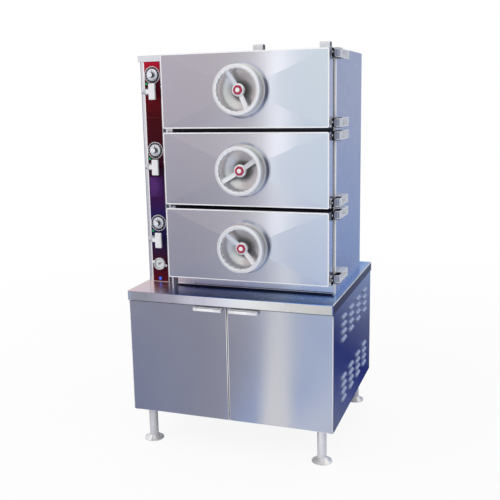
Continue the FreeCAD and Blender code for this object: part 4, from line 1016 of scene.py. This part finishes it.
def makeWorktopEdge():
    low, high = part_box("worktop")
    bottom, top = high.z - edges["worktopSkirt"], high.z - 0.0004
    steps = 12
    front = []
    for step in range(steps + 1):
        share = step / steps
        swell = edges["worktopCrown"] * math.sin(math.pi * (0.08 + 0.84 * share) * 0.5 + 0.10)
        rolled = 0.0016 * max(0.0, (share - 0.90) / 0.10) ** 2
        front.append((low.y - edges["worktopCrown"] + swell - 0.0002 + rolled,
                      bottom + (top - bottom) * share))
    outline = front + [(low.y + 0.0010, top), (low.y + 0.0010, bottom)]
    piece = extrudeAlong("worktopEdge", outline, low.x + 0.005, high.x - 0.005)
    place(piece, "edgeSteel", "root", "stainless")
    # the worktop's right side, dark with painted shade
    side = boxShape("worktopSide", (high.x - 0.0010, low.y + 0.0030, bottom + 0.0005),
                    (high.x + 0.0007, high.y - 0.0030, high.z - 0.0028), 0.0006, 2)
    place(side, "sideShade", "root", "stainless")
    roll = boxShape("worktopRoll", (high.x - 0.0026, low.y + 0.0020, high.z - 0.0030),
                    (high.x + 0.0010, high.y - 0.0020, high.z + 0.0004), 0.0012, 3)
    # the rolled right edge's white is a painted highlight
    place(roll, "edgeHighlight", "root", "stainless")


def makePull(side, body, node):
    low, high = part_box(node)
    proud = edges["pullProud"]
    front, back = low.y - proud, low.y + edges["pullReach"] + proud
    top = high.z - 0.002 + proud
    bottom = top - edges["pullLip"]
    inside = edges["pullThick"]
    middle = side * edges["pullAside"]
    outline = [(back, top)]
    # the round fold at the top and the small one under the lip
    for radius, height, start, steps in ((0.005, top - 0.005, 90, 8),
                                         (0.0016, bottom + 0.0016, 180, 4)):
        for step in range(steps + 1):
            angle = math.radians(start + 90 * step / steps)
            outline.append((front + radius + radius * math.cos(angle),
                            height + radius * math.sin(angle)))
    outline += [(front + inside, bottom + 0.0004), (front + inside, top - inside),
                (back, top - inside)]
    half = edges["pullWide"] / 2 + proud
    piece = extrudeAlong(f"pull{'Left' if side < 0 else 'Right'}", outline, middle - half, middle + half)
    # the pull's white is a painted highlight
    place(piece, "pullHighlight", body, "stainless")


def upright(name, x, y, z0, z1, radius, sides=16):
    # round bead that stands between two heights
    rings = [[(x + across, y + along, z) for across, along in circle(sides, radius)]
             for z in (z0, z1)]
    return skin(name, rings, ends=True)


def makeBeads():
    # bright folds of the casing, the column and the cabinet doors, their white a painted highlight
    low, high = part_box("body_casing")
    corner = boxShape("casingCorner", (high.x - edges["cornerWide"], low.y - edges["cornerProud"], low.z),
                      (high.x + 0.0008, low.y + edges["cornerDeep"], high.z), 0.0018, 4)
    place(corner, "edgeHighlight", "root", "stainless")
    filmLow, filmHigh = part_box("control_panel")
    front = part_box("control_column")[0].y
    fold = boxShape("columnFold", (filmLow.x - edges["columnFold"], front - 0.0006, filmLow.z),
                    (filmLow.x - 0.0002, front + 0.0010, filmHigh.z), 0.0005, 2)
    place(fold, "edgeHighlight", "root", "stainless")
    radius = edges["doorBead"]
    for side, body, node in ((-1, "left_door", "cabinet_door_left"),
                             (1, "right_door", "cabinet_door_right")):
        low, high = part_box(node)
        front = low.y + edges["pullReach"]
        ends = {"Inner": low.x if side > 0 else high.x, "Outer": high.x if side > 0 else low.x}
        word = "Right" if side > 0 else "Left"
        for end, x in ends.items():
            inward = side if end == "Inner" else -side
            bead = upright(f"door{word}{end}", x + inward * (radius - 0.0003),
                           front + radius - 0.0008, low.z + 0.001, high.z - 0.003, radius)
            place(bead, "edgeHighlight", body, "stainless")


def makeHingeLooks():
    low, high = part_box("hinge_brackets")
    pinX, pinY = high.x - edges["pinInset"], low.y + edges["pinInset"]
    thick = edges["shadeStripThick"]
    upward = Matrix.Rotation(-math.pi / 2, 4, "X")
    outward = Matrix.Rotation(math.pi / 2, 4, "Z")
    heads, screws, shadeStrips = [], [], []
    for number in doorNumbers:
        doorLow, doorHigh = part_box(f"door_shell_{number}")
        for z in (doorLow.z, doorHigh.z - bracketHeight):
            spot = (pinX, pinY, z + bracketHeight)
            heads.append(screwHead("pinHead", edges["pinHead"], spot, upward))
            for along in edges["screwsAlong"]:
                spot = (high.x - edges["screwInset"], low.y + along, z + bracketHeight / 2)
                screws.append(screwHead("screw", edges["screwRadius"], spot, outward))
            # black strips above and below each bracket: painted shadow
            for step in (-thick, bracketHeight):
                shadeStrips.append(boxShape("shadeStrip", (low.x + 0.002, low.y - 0.001, z + step),
                                        (high.x - 0.001, low.y + 0.045, z + step + thick), 0.0006, 2))
    place(together("hingeShadeStrips", shadeStrips), "hingeShade", "root", "gasket_rubber")
    place(together("hingePinHeads", heads), "pinMetal", "root", "bright_steel")
    place(together("hingeScrews", screws), "pinMetal", "root", "bright_steel")


makeWorktopEdge()
makePull(-1, "left_door", "cabinet_door_left")
makePull(1, "right_door", "cabinet_door_right")
makeBeads()
makeHingeLooks()
print("edges, pulls and hinges finished")


# Camera, light and floor

view = {
    "place": (1.10283, -3.22294, 1.51444),
    "turn": 0.339401,        # about the upright, in radians
    "tilt": 0.198552,        # below level
    "roll": -0.019213,
    "lens": 53.94,
}


def makeCamera():
    camera = bpy.data.objects.new("camera", bpy.data.cameras.new("camera"))
    camera.data.sensor_width = 36.0
    camera.data.lens = view["lens"]
    camera.data.clip_end = 200.0
    aim = Euler((math.pi / 2 - view["tilt"], 0, view["turn"])).to_matrix()
    aim = aim @ Matrix.Rotation(view["roll"], 3, "Z")
    camera.matrix_world = Matrix.Translation(view["place"]) @ aim.to_4x4()
    bpy.context.collection.objects.link(camera)
    bpy.context.scene.camera = camera


studio = {
    "sky": 0.80,             # light from all round on anything that isn't shiny
    "keyPower": 60.0,
    "keySize": 2.5,
    "keyPlace": (-2.6, -3.4, 3.6),
    "keyAim": (0.0, 0.0, 0.9),
    "floorColour": (0.93, 0.93, 0.93),
    "floorGlow": 0.90,       # share of the floor's white that doesn't come from the lamps
    "floorFade": (1.2, 4.5), # distance over which the floor turns plain white
    "roomRadius": 5.5,       # painted room that only the shiny surfaces see
    "roomHeight": 5.0,
    "shadeUnderSteamer": (0.30, 0.62),   # where the floor beneath it turns dark, a painted shadow that the steel mirrors
    "nearFloor": (1.9, 4.2), # from the floor's colours to the wall's
    "wallRise": (0.0, 1.5),
}

# what the steel mirrors, going round the room: 0 is in front, 90 to the right
# painted shadow of the steamer on the room's floor
underShadeColour = (0.035, 0.037, 0.060)
nearColours = (
    (-180, (0.30, 0.32, 0.40)), (-120, (0.55, 0.56, 0.62)), (-70, (0.16, 0.17, 0.25)),
    (-34, (0.30, 0.33, 0.46)), (-20, (0.34, 0.35, 0.44)), (-13, (0.38, 0.39, 0.48)),
    (-5, (0.44, 0.52, 0.74)), (4, (0.48, 0.58, 0.82)), (20, (0.80, 0.84, 0.95)),
    (60, (0.30, 0.33, 0.46)), (125, (0.08, 0.10, 0.27)), (145, (0.016, 0.027, 0.175)),
    (180, (0.30, 0.32, 0.40)),
)
wallColours = (              # each with the colour near the floor and the one above
    (-180, (0.40, 0.43, 0.52), (0.55, 0.57, 0.64)), (-120, (0.60, 0.61, 0.68), (0.80, 0.80, 0.86)),
    (-75, (0.20, 0.20, 0.26), (0.34, 0.34, 0.42)), (-45, (0.52, 0.50, 0.58), (0.86, 0.82, 0.88)),
    (-28, (0.355, 0.35, 0.41), (0.64, 0.57, 0.60)), (-20, (0.45, 0.44, 0.48), (0.66, 0.60, 0.61)),
    (-15.5, (0.60, 0.60, 0.63), (0.76, 0.72, 0.72)), (-12.5, (0.66, 0.72, 0.84), (0.84, 0.90, 0.96)),
    (-8, (0.70, 0.78, 0.92), (0.90, 0.99, 1.00)), (5, (0.74, 0.84, 1.00), (0.92, 1.00, 1.00)),
    (35, (0.20, 0.22, 0.30), (0.34, 0.36, 0.44)), (70, (0.08, 0.08, 0.11), (0.12, 0.12, 0.16)),
    (95, (0.60, 0.65, 0.78), (0.85, 0.88, 0.96)), (130, (0.36, 0.42, 0.62), (0.50, 0.54, 0.70)),
    (162, (0.32, 0.42, 0.70), (0.47, 0.52, 0.70)), (180, (0.40, 0.43, 0.52), (0.55, 0.57, 0.64)),
)
boards = {                   # white boards that show only as reflections
    "floorBoard": {
        "foot": (0.150, -0.60, 0.006),
        "turn": (0.0, 0.0, 163.0),
        "size": (0.21, 3.4),
        "soft": 0.30,        # share of the width that fades out, on each side
        "colour": (0.97, 0.95, 0.93),
    },
    "wallBoard": {
        "foot": (-1.282, -5.143, 0.10),
        "turn": (90.0, 0.0, -14.0),
        "size": (0.11, 4.6),
        "soft": 0.45,
        "colour": (4.0, 3.9, 3.8),
    },
}


def paintRoom():
    # colours by direction, blended from the floor near the steamer to the top of the wall
    finish = Finish("roomPaint")
    calculate, blend = finish.calculate, finish.blend
    x, y, z = (finish.axis(letter) for letter in "XYZ")
    turn = calculate("ARCTAN2", x, calculate("MULTIPLY", y, -1.0))
    turn = finish.span(turn, 0.0, 1.0, -math.pi, math.pi)
    squares = [calculate("MULTIPLY", side, side) for side in (x, y)]
    away = calculate("SQRT", calculate("ADD", *squares))
    lowColours, highColours = ([(row[0], row[k]) for row in wallColours] for k in (1, 2))
    near, low, high = (finish.ramp(turn, [(at / 360 + 0.5, colour) for at, colour in stops])
                       for stops in (nearColours, lowColours, highColours))
    near = blend(finish.span(away, 0.0, 1.0, *studio["shadeUnderSteamer"]), (*underShadeColour, 1), near)
    paint = blend(finish.span(away, 0.0, 1.0, *studio["nearFloor"]), near, low)
    paint = blend(finish.span(z, 0.0, 1.0, *studio["wallRise"]), paint, high)
    finish.show(finish.glow(paint))
    finish.tree.nodes.remove(finish.shader)
    return finish.material


def hideFromAllButShine(piece):
    piece.visible_camera = piece.visible_diffuse = piece.visible_shadow = False
    piece.visible_transmission = piece.visible_volume_scatter = False


def makeRoom(steps=96):
    # floor ring and wall in one mesh; neither camera nor diffuse light sees it
    wide = studio["roomRadius"]
    rings = [[(across, along, height) for across, along in circle(steps, radius)]
             for radius, height in ((0.001, 0.002), (wide, 0.002), (wide, studio["roomHeight"]))]
    room = skin("room", rings)
    room.data.materials.append(paintRoom())
    hideFromAllButShine(room)


def makeBoard(name, board):
    # glowing sheet that fades out at both long sides
    piece = addMesh(name, [(-0.5, 0, 0), (0.5, 0, 0), (0.5, 1, 0), (-0.5, 1, 0)], [(0, 1, 2, 3)])
    finish = Finish(name + "Paint")
    aside = finish.calculate("ABSOLUTE", finish.axis("X"))
    share = finish.span(aside, 1.0, 0.0, 0.5 - board["soft"], 0.5)
    clear = finish.node("ShaderNodeBsdfTransparent").outputs["BSDF"]
    finish.show(finish.mixShaders(share, clear, finish.glow((*board["colour"], 1))))
    finish.tree.nodes.remove(finish.shader)
    piece.data.materials.append(finish.material)
    piece.location = board["foot"]
    piece.rotation_euler = [math.radians(angle) for angle in board["turn"]]
    piece.scale = (*board["size"], 1)
    hideFromAllButShine(piece)


def makeFloor(reach=60.0):
    # shaded near the steamer, plain white further out
    floor = addMesh("floor", [(-reach, -reach, 0), (reach, -reach, 0), (reach, reach, 0),
                              (-reach, reach, 0)], [(0, 1, 2, 3)])
    finish = Finish("floorPaint", Roughness=0.9, Specular_IOR_Level=0.1)
    paint = studio["floorColour"]
    finish.paint(finish.ramp(finish.noise((3,) * 3, 3.0), [(0.3, shade(paint, 0.99)), (0.7, paint)]))
    coords = finish.node("ShaderNodeTexCoord")
    away = finish.node("ShaderNodeVectorMath", operation="LENGTH")
    finish.wire(coords.outputs["Object"], away.inputs[0])
    share = finish.span(away.outputs["Value"], studio["floorGlow"], 1.0, *studio["floorFade"])
    share = finish.calculate("MULTIPLY", share, finish.backgroundRays())
    plainWhite = finish.glow((1.0, 1.0, 1.0, 1.0))
    finish.show(finish.mixShaders(share, finish.shader.outputs["BSDF"], plainWhite))
    floor.data.materials.append(finish.material)


def makeStudio():
    world = bpy.data.worlds.new("studio")
    bpy.context.scene.world = world
    world.use_nodes = True
    sky = Wiring(world.node_tree)
    back = sky.tree.nodes["Background"]
    back.inputs["Color"].default_value = (1, 1, 1, 1)
    sky.wire(sky.span(sky.backgroundRays(), studio["sky"], 1.0, 0.0, 1.0), back.inputs["Strength"])

    key = bpy.data.objects.new("keyLight", bpy.data.lights.new("keyLight", "AREA"))
    key.data.energy = studio["keyPower"]
    key.data.size = studio["keySize"]
    key.visible_glossy = False
    key.location = studio["keyPlace"]
    aim = Vector(studio["keyAim"]) - Vector(studio["keyPlace"])
    key.rotation_euler = aim.to_track_quat("-Z", "Y").to_euler()
    bpy.context.collection.objects.link(key)


makeCamera()
makeStudio()
makeRoom()
for name, board in boards.items():
    makeBoard(name, board)
makeFloor()
print("camera, light and floor made")

bpy.context.scene.view_settings.view_transform = "Standard"
